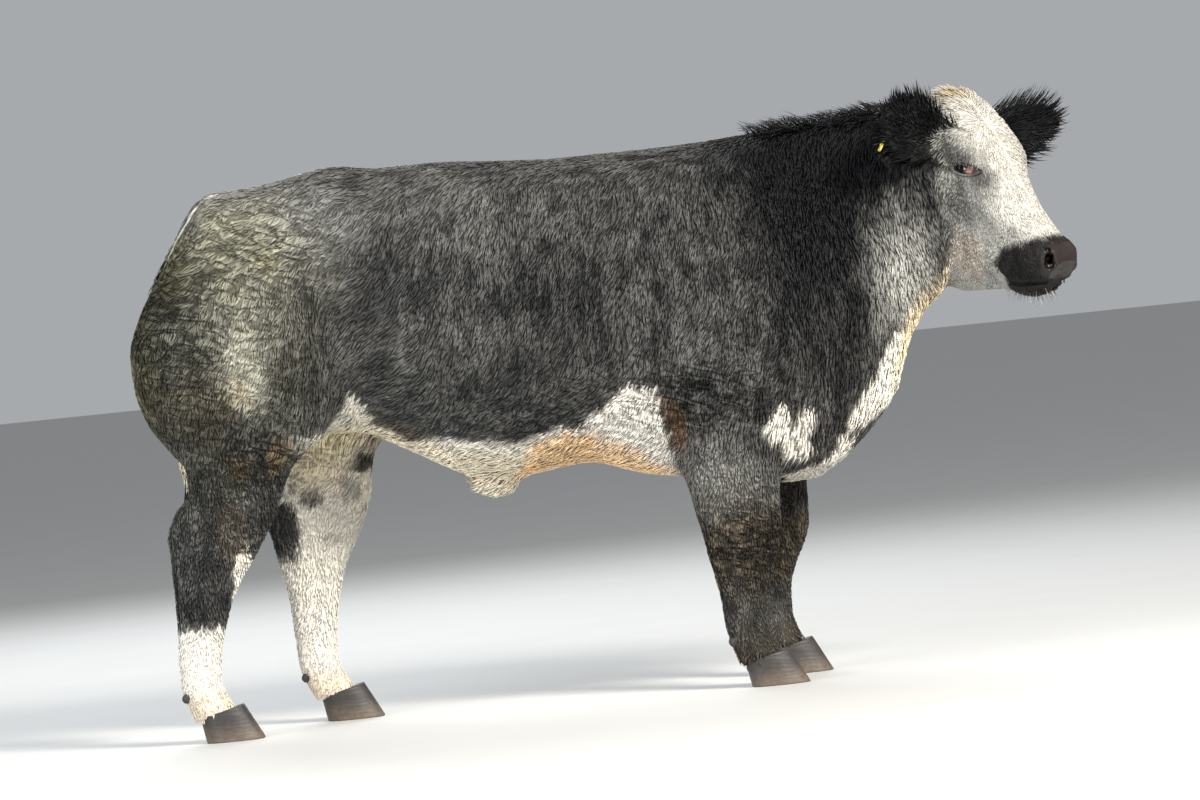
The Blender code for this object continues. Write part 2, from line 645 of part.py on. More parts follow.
def ear_locks(left):
    """A fringe along both edges of an ear, fanning out towards its tip."""
    root, way, across, opens = EAR_FRAMES[left]
    locks = []
    for edge, count in ((1, 8), (-1, 6)):
        for i, t in enumerate(np.linspace(0.36, 0.97, count)):
            half, curl, _ = ear_section(t)
            start = root + way * t * EAR_LONG + across * edge * half * 0.80 + opens * curl * half * 0.19
            lean = across * edge * (1.15 - 0.60 * t) + way * (0.25 + 0.75 * t)
            long = EAR_LOCK[0] * (1.0 + 0.22 * math.sin(2.3 * i + edge) + (0.20 if edge > 0 else 0.0))
            locks.append(lock(start, lean, way, (long, *EAR_LOCK[1:]), opens * 0.12 + way * 0.15))
    return locks


def switch_locks():
    """Long locks round the tail's switch, leaving it low down and drawing together below it."""
    locks = []
    for i in range(12):
        z = 0.470 - 0.014 * i
        back, mid, front, middle, half = read(TRACKS["switch"], z)
        angle = 2.4 * i
        out = np.array((math.cos(angle) * 0.8, math.sin(angle), 0.0))
        start = np.array((mid, middle, z)) + out * half * 0.66
        long = SWITCH_LOCK[0] * (1.0 + 0.15 * math.sin(1.7 * i))
        side = (-math.sin(angle), math.cos(angle), 0.0)
        locks.append(lock(start, out * 0.22 + (0, 0, -1), side, (long, *SWITCH_LOCK[1:]), -out * 0.16))
    return locks


def torso_pieces():
    step = 0.0125
    low, high = (-0.96, -0.42, 0.44), (1.18, 0.42, 1.42)
    source = meshed("torso", without_ears, low, high, step)
    settled(source, without_ears, low, high, step)
    thinned(source, 3300)
    chest = source
    pieces = {}
    for name in ("rump", "barrel", "neck"):
        pieces[name] = bpy.data.objects.new(name, source.data.copy())
        bpy.context.scene.collection.objects.link(pieces[name])
    pieces["chest"] = chest
    cut(chest, NECK_BASE, back_of(BARREL_FRONT))
    for side in (-1, 1):
        reach = (0.085, 0.60) if side > 0 else (-0.60, -0.085)
        well = box((0.2, reach[0], 0.2), (0.9, reach[1], ELBOW + GAP / 2))
        combine(chest, well, "DIFFERENCE")
    largest(chest)
    cut(pieces["barrel"], BARREL_FRONT, back_of(BARREL_REAR))
    cut(pieces["rump"], BARREL_REAR, ((0, 0, THIGH_TOP), (0, 0, -1)))
    joined(pieces["neck"], crest_locks())
    cut(pieces["neck"], back_of(NECK_BASE), HEAD_BASE)
    return pieces


def limb_pieces():
    """The legs from the body down to the hooves, each side by itself."""
    pieces = {}
    step = 0.0085
    for side, word in ((-1, "right"), (1, "left")):
        y = (-0.42, 0.0) if side < 0 else (0.0, 0.42)
        inner = ((0, side * 0.0015, 0), (0, -side, 0))
        x = (-0.96, -0.33) if side < 0 else (-0.92, -0.30)
        low, high = (x[0], y[0] - 0.01, 0.03), (x[1] + 0.02, y[1] + 0.01, THIGH_TOP + 0.02)
        source = meshed("hind", without_ears, low, high, step)
        settled(source, without_ears, low, high, step)
        thinned(source, 860)
        upper = bpy.data.objects.new("thigh_" + word, source.data.copy())
        bpy.context.scene.collection.objects.link(upper)
        cut(upper, inner, BARREL_REAR, ((0, 0, THIGH_TOP), (0, 0, 1)), ((0, 0, HOCK_TOP), (0, 0, -1)))
        cut(source, inner, ((0, 0, HOCK_TOP), (0, 0, 1)), coronet_plane("hind", side, True))
        pieces["thigh_" + word] = upper
        pieces["hind_shank_" + word] = source
        low, high = (0.30, y[0] - 0.01, 0.03), (0.80, y[1] + 0.01, ELBOW + 0.02)
        source = meshed("fore", without_ears, low, high, step)
        settled(source, without_ears, low, high, step)
        thinned(source, 860)
        keep = ((0, side * 0.085, 0), (0, -side, 0))
        upper = bpy.data.objects.new("forearm_" + word, source.data.copy())
        bpy.context.scene.collection.objects.link(upper)
        cut(upper, keep, ((0, 0, ELBOW), (0, 0, 1)), ((0, 0, KNEE_LOW), (0, 0, -1)))
        cut(source, keep, ((0, 0, KNEE_LOW), (0, 0, 1)), coronet_plane("fore", side, True))
        pieces["forearm_" + word] = upper
        pieces["fore_shank_" + word] = source
    return pieces


def foot_front(kind, side):
    """Front of the coronet, about which the claws are set."""
    rows = HIND if kind == "hind" else FORE
    front = [row[3] for row in rows if row[0] == 0.060][0]
    return front + float(stance(kind, np.array(0.05), np.array(side > 0)))


def coronet_plane(kind, side, below):
    front = foot_front(kind, side)
    normal = np.array((0.22, 0.0, -0.975))
    normal = normal if below else -normal
    return (front - 0.05, 0.0, CORONET), tuple(normal)


def claw_ring(z, front, y, way, top=False):
    """One level of a claw: a rounded toe, a full outer wall, a flat inner wall beside the cleft, a low heel."""
    toe = front + 0.050 - 0.52 * z
    heel = front - 0.092 - 0.16 * z
    wide = 0.050 - 0.06 * z
    ring = []
    for k in range(16):
        angle = 2 * math.pi * k / 16
        c, s = math.cos(angle), math.sin(angle)
        along = (toe + heel) / 2 + (toe - heel) / 2 * math.copysign(abs(c) ** 0.85, c)
        share = (1 + c) / 2
        outer = wide * (0.98 - 0.34 * share**3)
        inner = 0.0022 + 0.008 * share**4
        out = outer * math.copysign(abs(s) ** 0.8, s) if s > 0 else 0.0
        across = inner + (out if s > 0 else 0.0010 * s)
        ring.append([along, y + way * across, z])
    return ring


def hoof_pieces():
    pieces = {}
    for kind in ("fore", "hind"):
        rows = HIND if kind == "hind" else FORE
        middle = rows[-1][4]
        for side, word in ((-1, "right"), (1, "left")):
            front = foot_front(kind, side)
            for part, way in (("inner", -side), ("outer", side)):
                name = "%s_claw_%s_%s" % (kind, part, word)
                rings = [claw_ring(z, front, side * middle, way) for z in (0.0, 0.012, 0.045, 0.085, 0.115)]
                made = loft(name, rings)
                cut(made, coronet_plane(kind, side, False))
                pieces[name] = made
    return pieces


def facing_out(made):
    shape = bmesh.new()
    shape.from_mesh(made.data)
    bmesh.ops.recalc_face_normals(shape, faces=shape.faces)
    shape.to_mesh(made.data)
    shape.free()


def loft(name, rings):
    """A closed solid through equal rings of points, with a flat fan at each end."""
    rings = np.array(rings)
    count, around = rings.shape[:2]
    points = rings.reshape(-1, 3).tolist()
    faces = []
    for i in range(count - 1):
        for j in range(around):
            k = (j + 1) % around
            faces.append((i * around + j, i * around + k, (i + 1) * around + k, (i + 1) * around + j))
    faces.append(tuple(range(around))[::-1])
    faces.append(tuple((count - 1) * around + j for j in range(around)))
    mesh = bpy.data.meshes.new(name)
    mesh.from_pydata(points, [], faces)
    shape = bmesh.new()
    shape.from_mesh(mesh)
    bmesh.ops.recalc_face_normals(shape, faces=shape.faces)
    bmesh.ops.triangulate(shape, faces=[f for f in shape.faces if len(f.verts) > 4])
    shape.to_mesh(mesh)
    shape.free()
    made = bpy.data.objects.new(name, mesh)
    bpy.context.scene.collection.objects.link(made)
    return made


def hanging(name, track, top, bottom, count, around, grow=0.0):
    """A rope-like solid read from a table that runs down Z."""
    rings = []
    angles = np.linspace(0, 2 * math.pi, around, endpoint=False)
    for z in np.linspace(top, bottom, count):
        back, mid, front, middle, half = read(track, z)
        reach = np.where(np.cos(angles) > 0, front - mid, mid - back) + grow
        rings.append(
            np.stack(
                [mid + reach * np.cos(angles), middle + (half + grow) * np.sin(angles), np.full(around, z)], axis=1
            )
        )
    return loft(name, rings)


def ball(name, middle, radius, level=3):
    shape = bmesh.new()
    bmesh.ops.create_icosphere(shape, subdivisions=level, radius=radius)
    bmesh.ops.translate(shape, verts=shape.verts, vec=middle)
    mesh = bpy.data.meshes.new(name)
    shape.to_mesh(mesh)
    shape.free()
    made = bpy.data.objects.new(name, mesh)
    bpy.context.scene.collection.objects.link(made)
    return made


def lid_opening(left):
    """An almond prism from inside the eyeball out past the lids."""
    sign = 1.0 if left else -1.0
    rings = []
    c, s = math.cos(EYE_TILT), math.sin(EYE_TILT)
    for t in (EYE[1] + 0.004, EYE[1] + 0.06):
        ring = []
        for k in range(28):
            angle = 2 * math.pi * k / 28
            u = 0.0260 * math.cos(angle)
            v = (0.0130 if math.sin(angle) > 0 else 0.0105) * math.sin(angle) * abs(math.sin(angle)) ** 0.25
            ring.append(from_head((EYE[0] + c * u + s * v, sign * t, EYE[2] - s * u + c * v)))
        rings.append(ring)
    return loft("lids", rings)


def grown(made, amount):
    """A copy pushed out along its own normals, for cutting a neighbour clear of it."""
    other = bpy.data.objects.new("grown", made.data.copy())
    bpy.context.scene.collection.objects.link(other)
    shape = bmesh.new()
    shape.from_mesh(other.data)
    shape.normal_update()
    for vert in shape.verts:
        vert.co = vert.co + vert.normal * amount
    shape.to_mesh(other.data)
    shape.free()
    return other


def head_pieces():
    step = 0.0062
    low, high = (0.88, -0.42, 0.78), (1.42, 0.24, 1.44)
    source = meshed("head", without_ears, low, high, step)
    settled(source, without_ears, low, high, step)
    thinned(source, 3500)
    pieces = {"head": source}
    cut(source, back_of(HEAD_BASE))
    for left, word in ((False, "right"), (True, "left")):
        middle = eye_middle(left)
        combine(source, lid_opening(left), "DIFFERENCE")
        combine(source, ball("socket", middle, EYE_RADIUS + GAP), "DIFFERENCE")
        pieces["eye_" + word] = ball("eye_" + word, middle, EYE_RADIUS)
    largest(source)
    for left, word in ((False, "right"), (True, "left")):
        pieces["ear_" + word] = ear_piece(left, "ear_" + word, source)
    return pieces


def ear_piece(left, name, skull):
    root, way, across, opens = EAR_FRAMES[left]

    def field(u, w, g):
        point = [root[i] + u * way[i] + w * across[i] + g * opens[i] for i in range(3)]
        return ear(*point, left)

    low, high = (0.0, -0.085, -0.07), (EAR_LONG + 0.01, 0.085, 0.07)
    made = meshed(name, field, low, high, 0.0045)
    settled(made, field, low, high, 0.0045)
    thinned(made, 320)
    frame = Matrix([[way[i], across[i], opens[i], root[i]] for i in range(3)] + [[0, 0, 0, 1]])
    made.data.transform(frame)
    facing_out(made)
    joined(made, ear_locks(left))
    combine(made, grown(skull, 1.3 * GAP), "DIFFERENCE")
    return largest(made)


def tail_pieces(pieces):
    """The hanging tail and its switch, clear of the rump and the thighs."""
    tail = hanging("tail", TRACKS["tail"], TAIL_TOP, 0.560 + GAP, 18, 10)
    switch = joined(hanging("tail_switch", TRACKS["switch"], 0.560, 0.250, 10, 12), switch_locks())
    for name in ("rump", "thigh_right", "thigh_left"):
        combine(pieces[name], grown(tail, 1.6 * GAP), "DIFFERENCE")
        combine(pieces[name], grown(switch, 1.6 * GAP), "DIFFERENCE")
        largest(pieces[name])
    pieces["tail"] = tail
    pieces["tail_switch"] = switch


def dewclaws(pieces):
    """Two small horn cones at the back of each fetlock, each let into its shank."""
    for kind in ("fore", "hind"):
        for side, word in ((-1, "right"), (1, "left")):
            z = 0.118
            shift = float(stance(kind, np.array(z), np.array(side > 0)))
            back, mid, front, middle, half = read(TRACKS[kind], z)
            for part, way in (("inner", -1), ("outer", 1)):
                name = "%s_dewclaw_%s_%s" % (kind, part, word)
                y = side * (middle + way * 0.021)
                made = []
                for grow in (0.0, 1.2 * GAP):
                    rings = []
                    for along, radius in ((-0.016 - grow, 0.0150), (0.003, 0.0160), (0.020, 0.0080)):
                        angles = np.linspace(0, 2 * math.pi, 8, endpoint=False)
                        x = back + shift + 0.008 - along * 0.8
                        rings.append(
                            np.stack(
                                [
                                    x + (radius + grow) * 0.55 * np.cos(angles),
                                    y + (radius + grow) * np.sin(angles),
                                    z - along * 0.6 + (radius + grow) * 0.8 * np.cos(angles),
                                ],
                                axis=1,
                            )
                        )
                    made.append(loft(name, rings))
                combine(pieces["%s_shank_%s" % (kind, word)], made[1], "DIFFERENCE")
                pieces[name] = made[0]
            largest(pieces["%s_shank_%s" % (kind, word)])


def tags(pieces):
    """A plain plate behind each ear's lower edge, standing off it by the usual gap."""
    for left, word in ((False, "right"), (True, "left")):
        frame = tag_frame(left)
        plate = box((-0.021, -0.037, -0.0016), (0.021, 0.004, 0.0016), frame)
        plate.name = "tag_" + word
        slot = box((-0.0214, -0.0374, -0.0020), (0.0214, 0.0044, 0.0020), frame)
        combine(pieces["ear_" + word], slot, "DIFFERENCE")
        largest(pieces["ear_" + word])
        pieces["tag_" + word] = plate


def build():
    pieces = torso_pieces()
    pieces.update(limb_pieces())
    pieces.update(hoof_pieces())
    pieces.update(head_pieces())
    tail_pieces(pieces)
    dewclaws(pieces)
    tags(pieces)
    return pieces


COLOURS = {
    "coat": ((0.075, 0.078, 0.085), 0.80),
    "pale coat": ((0.560, 0.530, 0.470), 0.80),
    "horn": ((0.060, 0.052, 0.046), 0.45),
    "eye": ((0.012, 0.009, 0.008), 0.08),
    "tag": ((0.780, 0.640, 0.060), 0.40),
}


def colour_of(name):
    if "claw" in name:
        return "horn"
    if name.startswith("eye") or name.startswith("tag"):
        return name.split("_")[0]
    return "pale coat" if name in ("hind_shank_left", "hind_shank_right") else "coat"


def materials():
    made = {}
    for name, (colour, rough) in COLOURS.items():
        material = bpy.data.materials.new(name)
        material.use_nodes = True
        shader = material.node_tree.nodes["Principled BSDF"]
        shader.inputs["Base Color"].default_value = (*colour, 1.0)
        shader.inputs["Roughness"].default_value = rough
        shader.inputs["Metallic"].default_value = 0.0
        made[name] = material
    return made


def placed(pieces):
    """Turns outline units into metres, names the objects and centres the model on the floor."""
    colours = materials()
    for name, made in pieces.items():
        made.data.materials.clear()
        made.data.materials.append(colours[colour_of(name)])
        made.name = name
        made.data.name = name
        made.data.transform(Matrix.Scale(SIZE, 4) @ Matrix.Translation(Vector((-MID_X, -MID_Y, 0.0))))
        made.data.update()


def main():
    for made in list(bpy.data.objects):
        bpy.data.objects.remove(made)
    placed(build())


main()
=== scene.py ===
"""Belgian blue steer: its looks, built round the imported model.

One skin covers the whole animal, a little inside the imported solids, and the coat of modelled tufts fills
the rest.  Shapes are worked out with numpy: the skin is the level surface of one field of distances, and
everything else is a surface of two parameters or a profile carried along a path.  The tables are in outline
units, and to_metres() carries them into the frame.  Markings are one function of place, read by the skin and
the coat alike.
"""
import math

import bmesh
import bpy
import numpy as np
import openvdb
from bpy.props import FloatProperty, FloatVectorProperty, IntProperty, PointerProperty
from bpy.types import Operator, Panel, PropertyGroup
from mathutils import Matrix, Vector


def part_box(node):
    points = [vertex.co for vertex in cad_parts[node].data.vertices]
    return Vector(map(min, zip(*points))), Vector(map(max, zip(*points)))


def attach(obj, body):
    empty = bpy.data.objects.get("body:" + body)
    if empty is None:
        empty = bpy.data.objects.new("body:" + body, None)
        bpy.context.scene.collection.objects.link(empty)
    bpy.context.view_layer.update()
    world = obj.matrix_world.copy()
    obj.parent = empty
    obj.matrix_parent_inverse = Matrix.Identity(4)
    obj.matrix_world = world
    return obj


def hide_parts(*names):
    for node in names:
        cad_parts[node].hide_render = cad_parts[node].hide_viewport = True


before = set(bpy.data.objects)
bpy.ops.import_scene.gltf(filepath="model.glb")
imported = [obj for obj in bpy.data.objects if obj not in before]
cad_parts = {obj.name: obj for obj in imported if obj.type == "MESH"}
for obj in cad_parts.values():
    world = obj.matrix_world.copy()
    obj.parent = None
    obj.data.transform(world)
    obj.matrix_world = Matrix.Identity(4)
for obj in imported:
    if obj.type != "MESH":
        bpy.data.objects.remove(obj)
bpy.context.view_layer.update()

bl_info = {
    "name": "Belgian Blue Steer",
    "version": (1, 0, 0),
    "blender": (4, 5, 0),
    "location": "View3D > Sidebar > Steer",
    "description": "Dresses the packed steer with skin, coat, eyes, horn and ear tags",
    "category": "Object",
}

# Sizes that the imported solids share.
SIZE = 0.94            # metres in one outline unit
STANCE_HIND = (
    (0.0, 0.282), (0.1, 0.274), (0.2, 0.266), (0.31, 0.254), (0.42, 0.234), (0.55, 0.212), (0.75, 0.138),
    (1.0, 0.0),
)
STANCE_FORE = ((0.0, 0.07), (0.2, 0.072), (0.3, 0.077), (0.45, 0.08), (0.6, 0.062), (0.85, 0.0), (1.0, 0.0))

# Beam tables run along +X: X, lowest Z, Z of the widest line, highest Z, sideways middle, half width.
TRUNK = (
    (-0.88, 0.86, 0.96, 1.06, 0, 0.1), (-0.84, 0.8, 0.97, 1.13, 0, 0.19),
    (-0.78, 0.745, 0.985, 1.235, 0, 0.24), (-0.7, 0.725, 1.0, 1.324, 0, 0.268),
    (-0.56, 0.715, 1.02, 1.336, 0, 0.28), (-0.4, 0.708, 1.01, 1.36, 0, 0.285),
    (-0.28, 0.655, 0.96, 1.343, 0, 0.292), (-0.15, 0.588, 0.93, 1.341, 0, 0.312),
    (0, 0.567, 0.91, 1.331, 0, 0.33), (0.15, 0.58, 0.905, 1.325, 0, 0.332),
    (0.3, 0.534, 0.9, 1.326, 0, 0.322), (0.45, 0.505, 0.89, 1.324, 0, 0.31),
    (0.6, 0.48, 0.88, 1.318, 0, 0.29), (0.7, 0.486, 0.87, 1.27, 0, 0.255),
    (0.78, 0.541, 0.85, 1.18, 0, 0.215), (0.85, 0.608, 0.83, 1.08, 0, 0.165),
    (0.905, 0.68, 0.82, 0.96, 0, 0.09),
)
NECK = (
    (0.35, 0.74, 1.0, 1.24, 0, 0.165), (0.5, 0.68, 1.0, 1.285, 0, 0.19),
    (0.6, 0.62, 1.0, 1.314, 0, 0.196), (0.68, 0.59, 1.0, 1.334, 0, 0.19),
    (0.76, 0.59, 0.995, 1.346, -0.002, 0.18), (0.85, 0.635, 1.005, 1.354, -0.01, 0.163),
    (0.9, 0.68, 1.02, 1.358, -0.018, 0.154), (0.95, 0.79, 1.065, 1.361, -0.028, 0.145),
    (1.0, 0.862, 1.1, 1.362, -0.042, 0.135), (1.045, 0.897, 1.12, 1.358, -0.056, 0.122),
    (1.09, 0.965, 1.15, 1.325, -0.07, 0.098),
)
# Leg tables run down from the body: Z, hindmost X, widest X, foremost X, distance sideways, half width.
HIND = (
    (1.16, -0.81, -0.66, -0.5, 0.165, 0.085), (1.1, -0.85, -0.68, -0.465, 0.18, 0.12),
    (1.03, -0.888, -0.7, -0.44, 0.188, 0.145), (0.94, -0.918, -0.715, -0.43, 0.19, 0.158),
    (0.86, -0.915, -0.725, -0.435, 0.186, 0.155), (0.78, -0.894, -0.73, -0.45, 0.18, 0.138),
    (0.71, -0.851, -0.72, -0.487, 0.174, 0.116), (0.655, -0.817, -0.712, -0.547, 0.171, 0.098),
    (0.6, -0.818, -0.724, -0.58, 0.169, 0.08), (0.555, -0.856, -0.745, -0.599, 0.168, 0.066),
    (0.5, -0.873, -0.767, -0.628, 0.167, 0.057), (0.436, -0.876, -0.787, -0.669, 0.166, 0.054),
    (0.38, -0.876, -0.803, -0.71, 0.166, 0.05), (0.309, -0.876, -0.813, -0.744, 0.166, 0.046),
    (0.218, -0.882, -0.825, -0.77, 0.166, 0.045), (0.15, -0.885, -0.83, -0.778, 0.166, 0.051),
    (0.115, -0.88, -0.826, -0.77, 0.166, 0.05), (0.06, -0.86, -0.8, -0.74, 0.166, 0.05),
    (0.03, -0.85, -0.79, -0.73, 0.166, 0.045),
)
FORE = (
    (1.02, 0.33, 0.5, 0.66, 0.185, 0.08), (0.92, 0.29, 0.5, 0.72, 0.2, 0.115),
    (0.82, 0.29, 0.5, 0.735, 0.205, 0.13), (0.73, 0.315, 0.5, 0.7, 0.202, 0.12),
    (0.65, 0.345, 0.49, 0.65, 0.192, 0.1), (0.58, 0.366, 0.49, 0.62, 0.182, 0.085),
    (0.52, 0.379, 0.49, 0.608, 0.174, 0.074), (0.45, 0.391, 0.495, 0.604, 0.168, 0.066),
    (0.37, 0.407, 0.502, 0.6, 0.163, 0.06), (0.33, 0.413, 0.5, 0.588, 0.162, 0.058),
    (0.28, 0.423, 0.495, 0.566, 0.161, 0.05), (0.22, 0.433, 0.492, 0.549, 0.161, 0.046),
    (0.155, 0.437, 0.492, 0.547, 0.161, 0.052), (0.115, 0.445, 0.502, 0.556, 0.161, 0.051),
    (0.06, 0.462, 0.522, 0.582, 0.161, 0.052), (0.03, 0.472, 0.532, 0.592, 0.161, 0.046),
)
TAIL = (
    (1.275, -0.758, -0.722, -0.69, 0, 0.04), (1.22, -0.796, -0.762, -0.73, 0, 0.036),
    (1.16, -0.836, -0.804, -0.775, 0, 0.032), (1.1, -0.872, -0.844, -0.818, 0, 0.029),
    (1.03, -0.896, -0.87, -0.845, 0, 0.026), (0.94, -0.903, -0.88, -0.857, 0, 0.023),
    (0.82, -0.89, -0.868, -0.846, 0, 0.021), (0.7, -0.85, -0.83, -0.81, 0, 0.019),
    (0.6, -0.83, -0.812, -0.794, 0, 0.017), (0.48, -0.82, -0.804, -0.788, 0, 0.016),
)

# The head has its own frame: along the face from the poll, to the animal's left, and out of the forehead.
HEAD_POLL = (1.112, -0.075, 1.396)
HEAD_PITCH = math.radians(45.0)
HEAD_YAW = math.radians(42.0)
# Along the face: reach from the poll, jaw side, level of the widest line, forehead side, middle, half width.
HEAD = (
    (-0.05, -0.15, -0.105, -0.09, 0, 0.045), (-0.02, -0.2, -0.09, -0.046, 0, 0.066),
    (0.03, -0.262, -0.085, -0.004, 0, 0.086), (0.09, -0.325, -0.082, 0.01, 0, 0.1),
    (0.16, -0.36, -0.08, 0.01, 0, 0.107), (0.22, -0.38, -0.085, -0.006, 0, 0.105),
    (0.285, -0.382, -0.1, -0.031, 0, 0.094), (0.335, -0.366, -0.12, -0.05, 0, 0.083),
    (0.39, -0.32, -0.13, -0.064, 0, 0.074), (0.445, -0.27, -0.13, -0.072, 0, 0.069),
    (0.49, -0.244, -0.13, -0.075, 0, 0.067), (0.522, -0.222, -0.13, -0.083, 0, 0.06),
    (0.54, -0.195, -0.13, -0.095, 0, 0.043),
)
EYE = (0.221, 0.0835, -0.0735)      # in the head frame, the left one at +
EYE_RADIUS = 0.0225
EYE_TILT = math.radians(-31.0)    # the inner corner is nearer the nose
# Each ear: root, straight way out, way the cup opens, length, half breadth.
EAR_ROOT = (0.092, 0.08, -0.09)
EAR_LONG = 0.232
EAR_BROAD = 0.068
# Along the ear: share of its length, half breadth as a share of the full one, curl of its cup, thickness.
EAR_SECTIONS = (
    (0.0, 0.5, 0.75, 0.02), (0.12, 0.66, 0.67, 0.015), (0.3, 0.93, 0.55, 0.012), (0.5, 1.0, 0.45, 0.01),
    (0.7, 0.9, 0.34, 0.009), (0.86, 0.62, 0.22, 0.008), (0.95, 0.36, 0.14, 0.007),
    (1.0, 0.08, 0.1, 0.007),
)
# Tags: share of the ear's length and of its half breadth below its middle where each hangs.
TAG_PLACE = {False: (0.8, 0.66), True: (0.66, 0.8)}

# Swells: middle, reach along the three axes, turn about the sideways axis in degrees, height outwards.
TRUNK_SWELLS = {
    "shoulder blade": ((0.5, 0.27, 1.0), (0.12, 0.12, 0.2), 22, 0.016),
    "triceps": ((0.36, 0.32, 0.8), (0.1, 0.1, 0.13), 0, 0.014),
    "point of shoulder": ((0.74, 0.2, 0.8), (0.09, 0.1, 0.1), 0, 0.022),
    "hollow behind shoulder": ((0.235, 0.3, 0.98), (0.045, 0.12, 0.22), 0, -0.014),
    "hollow before shoulder": ((0.68, 0.2, 1.06), (0.05, 0.1, 0.16), 22, -0.014),
    "long loin muscle": ((-0.16, 0.095, 1.33), (0.34, 0.055, 0.06), 0, 0.012),
    "spine groove": ((-0.2, 0, 1.36), (0.42, 0.028, 0.08), 0, -0.01),
    "hook bone": ((-0.42, 0.22, 1.27), (0.055, 0.06, 0.05), 0, 0.016),
    "flank hollow": ((-0.3, 0.28, 1.05), (0.07, 0.09, 0.11), 0, -0.018),
    "rib spring": ((0.02, 0.32, 0.95), (0.18, 0.1, 0.22), 0, 0.01),
    "flank fold": ((-0.36, 0.22, 0.76), (0.08, 0.06, 0.07), 0, 0.01),
    "sheath": ((-0.083, 0, 0.54), (0.052, 0.036, 0.05), 0, 0.082),
    "brisket": ((0.68, 0, 0.52), (0.09, 0.06, 0.06), 0, 0.01),
    "tail head": ((-0.765, 0, 1.275), (0.08, 0.04, 0.06), 30, 0.014),
    "buttock cleft": ((-0.92, 0, 0.97), (0.09, 0.028, 0.26), 0, -0.05),
}
HIND_SWELLS = {
    "rump muscle": ((-0.62, 0.26, 1.12), (0.12, 0.12, 0.12), 0, 0.016),
    "outer thigh": ((-0.66, 0.33, 0.92), (0.11, 0.1, 0.15), -12, 0.018),
    "rear thigh": ((-0.86, 0.25, 0.92), (0.06, 0.1, 0.16), 0, 0.016),
    "thigh seam": ((-0.775, 0.33, 0.93), (0.022, 0.1, 0.17), -8, -0.014),
    "front thigh": ((-0.53, 0.3, 0.86), (0.07, 0.1, 0.15), 18, 0.01),
    "stifle": ((-0.49, 0.22, 0.72), (0.05, 0.06, 0.06), 0, 0.008),
    "hock point": ((-0.873, 0.167, 0.505), (0.022, 0.03, 0.03), 0, 0.006),
    "tendon hollow": ((-0.838, 0.215, 0.6), (0.022, 0.03, 0.06), 10, -0.012),
}
FORE_SWELLS = {
    "upper arm": ((0.5, 0.32, 0.72), (0.1, 0.1, 0.11), 0, 0.012),
    "elbow": ((0.36, 0.26, 0.66), (0.045, 0.06, 0.05), 0, 0.01),
    "forearm": ((0.52, 0.24, 0.56), (0.07, 0.05, 0.09), 0, 0.008),
    "knee": ((0.56, 0.163, 0.345), (0.035, 0.05, 0.045), 0, 0.004),
}
HEAD_SWELLS = {
    "poll": ((0.036, 0, -0.01), (0.06, 0.07, 0.045), 0, 0.019),
    "forehead corner": ((0.1, 0.066, -0.012), (0.09, 0.045, 0.045), 0, 0.018),
    "forehead dip": ((0.15, 0, 0.01), (0.07, 0.03, 0.05), 0, -0.005),
    "brow": ((0.199, 0.094, -0.037), (0.05, 0.03, 0.026), 0, 0.018),
    "eye mound": ((0.216, 0.092, -0.071), (0.046, 0.03, 0.036), 0, 0.008),
    "behind the eye": ((0.147, 0.1, -0.095), (0.03, 0.03, 0.03), 0, -0.012),
    "before the eye": ((0.29, 0.085, -0.075), (0.035, 0.03, 0.022), 0, -0.008),
    "cheekbone": ((0.29, 0.085, -0.112), (0.07, 0.022, 0.016), -12, 0.01),
    "cheek": ((0.24, 0.09, -0.21), (0.07, 0.05, 0.07), 0, 0.01),
    "jaw edge hollow": ((0.335, 0.075, -0.185), (0.045, 0.04, 0.04), 0, -0.01),
    "nose bridge": ((0.39, 0, -0.053), (0.09, 0.035, 0.03), 0, 0.004),
    "upper lip": ((0.498, 0.055, -0.135), (0.04, 0.03, 0.034), 0, 0.012),
    "nostril rim": ((0.516, 0.05, -0.1), (0.03, 0.022, 0.028), 0, 0.009),
    "chin": ((0.484, 0, -0.226), (0.045, 0.045, 0.03), 0, 0.01),
    "throat": ((0.2, 0, -0.36), (0.08, 0.05, 0.05), 0, -0.006),
}
NOSTRIL = ((0.524, 0.052, -0.106), (0.016, 0.011, 0.015), 28, -0.022)
MOUTH_LINE = (
    (0.405, 0.213), (0.429, 0.231), (0.457, 0.231), (0.491, 0.211), (0.529, 0.174), (0.548, 0.156),
)


def through(rows, count=500):
    """The rows carried through smoothly: cubics between stations that never overshoot, read at even steps."""
    rows = np.array(sorted(rows), dtype=float)
    x, y = rows[:, 0], rows[:, 1:]
    step = np.diff(x)[:, None]
    rise = np.diff(y, axis=0) / step
    slope = np.zeros_like(y)
    slope[0], slope[-1] = rise[0], rise[-1]
    before, after = 2 * step[1:] + step[:-1], step[1:] + 2 * step[:-1]
    same = rise[:-1] * rise[1:] > 0
    safe = np.where(same, rise[:-1], 1.0), np.where(same, rise[1:], 1.0)
    slope[1:-1] = np.where(same, (before + after) / (before / safe[0] + after / safe[1]), 0.0)
    at = np.linspace(x[0], x[-1], count)
    i = np.clip(np.searchsorted(x, at, side="right") - 1, 0, len(x) - 2)
    h = step[i]
    t = ((at - x[i]) / h[:, 0])[:, None]
    values = (
        (2 * t**3 - 3 * t**2 + 1) * y[i]
        + (t**3 - 2 * t**2 + t) * h * slope[i]
        + (3 * t**2 - 2 * t**3) * y[i + 1]
        + (t**3 - t**2) * h * slope[i + 1]
    )
    return at, values


def read(track, at):
    return [np.interp(at, track[0], column) for column in track[1].T]


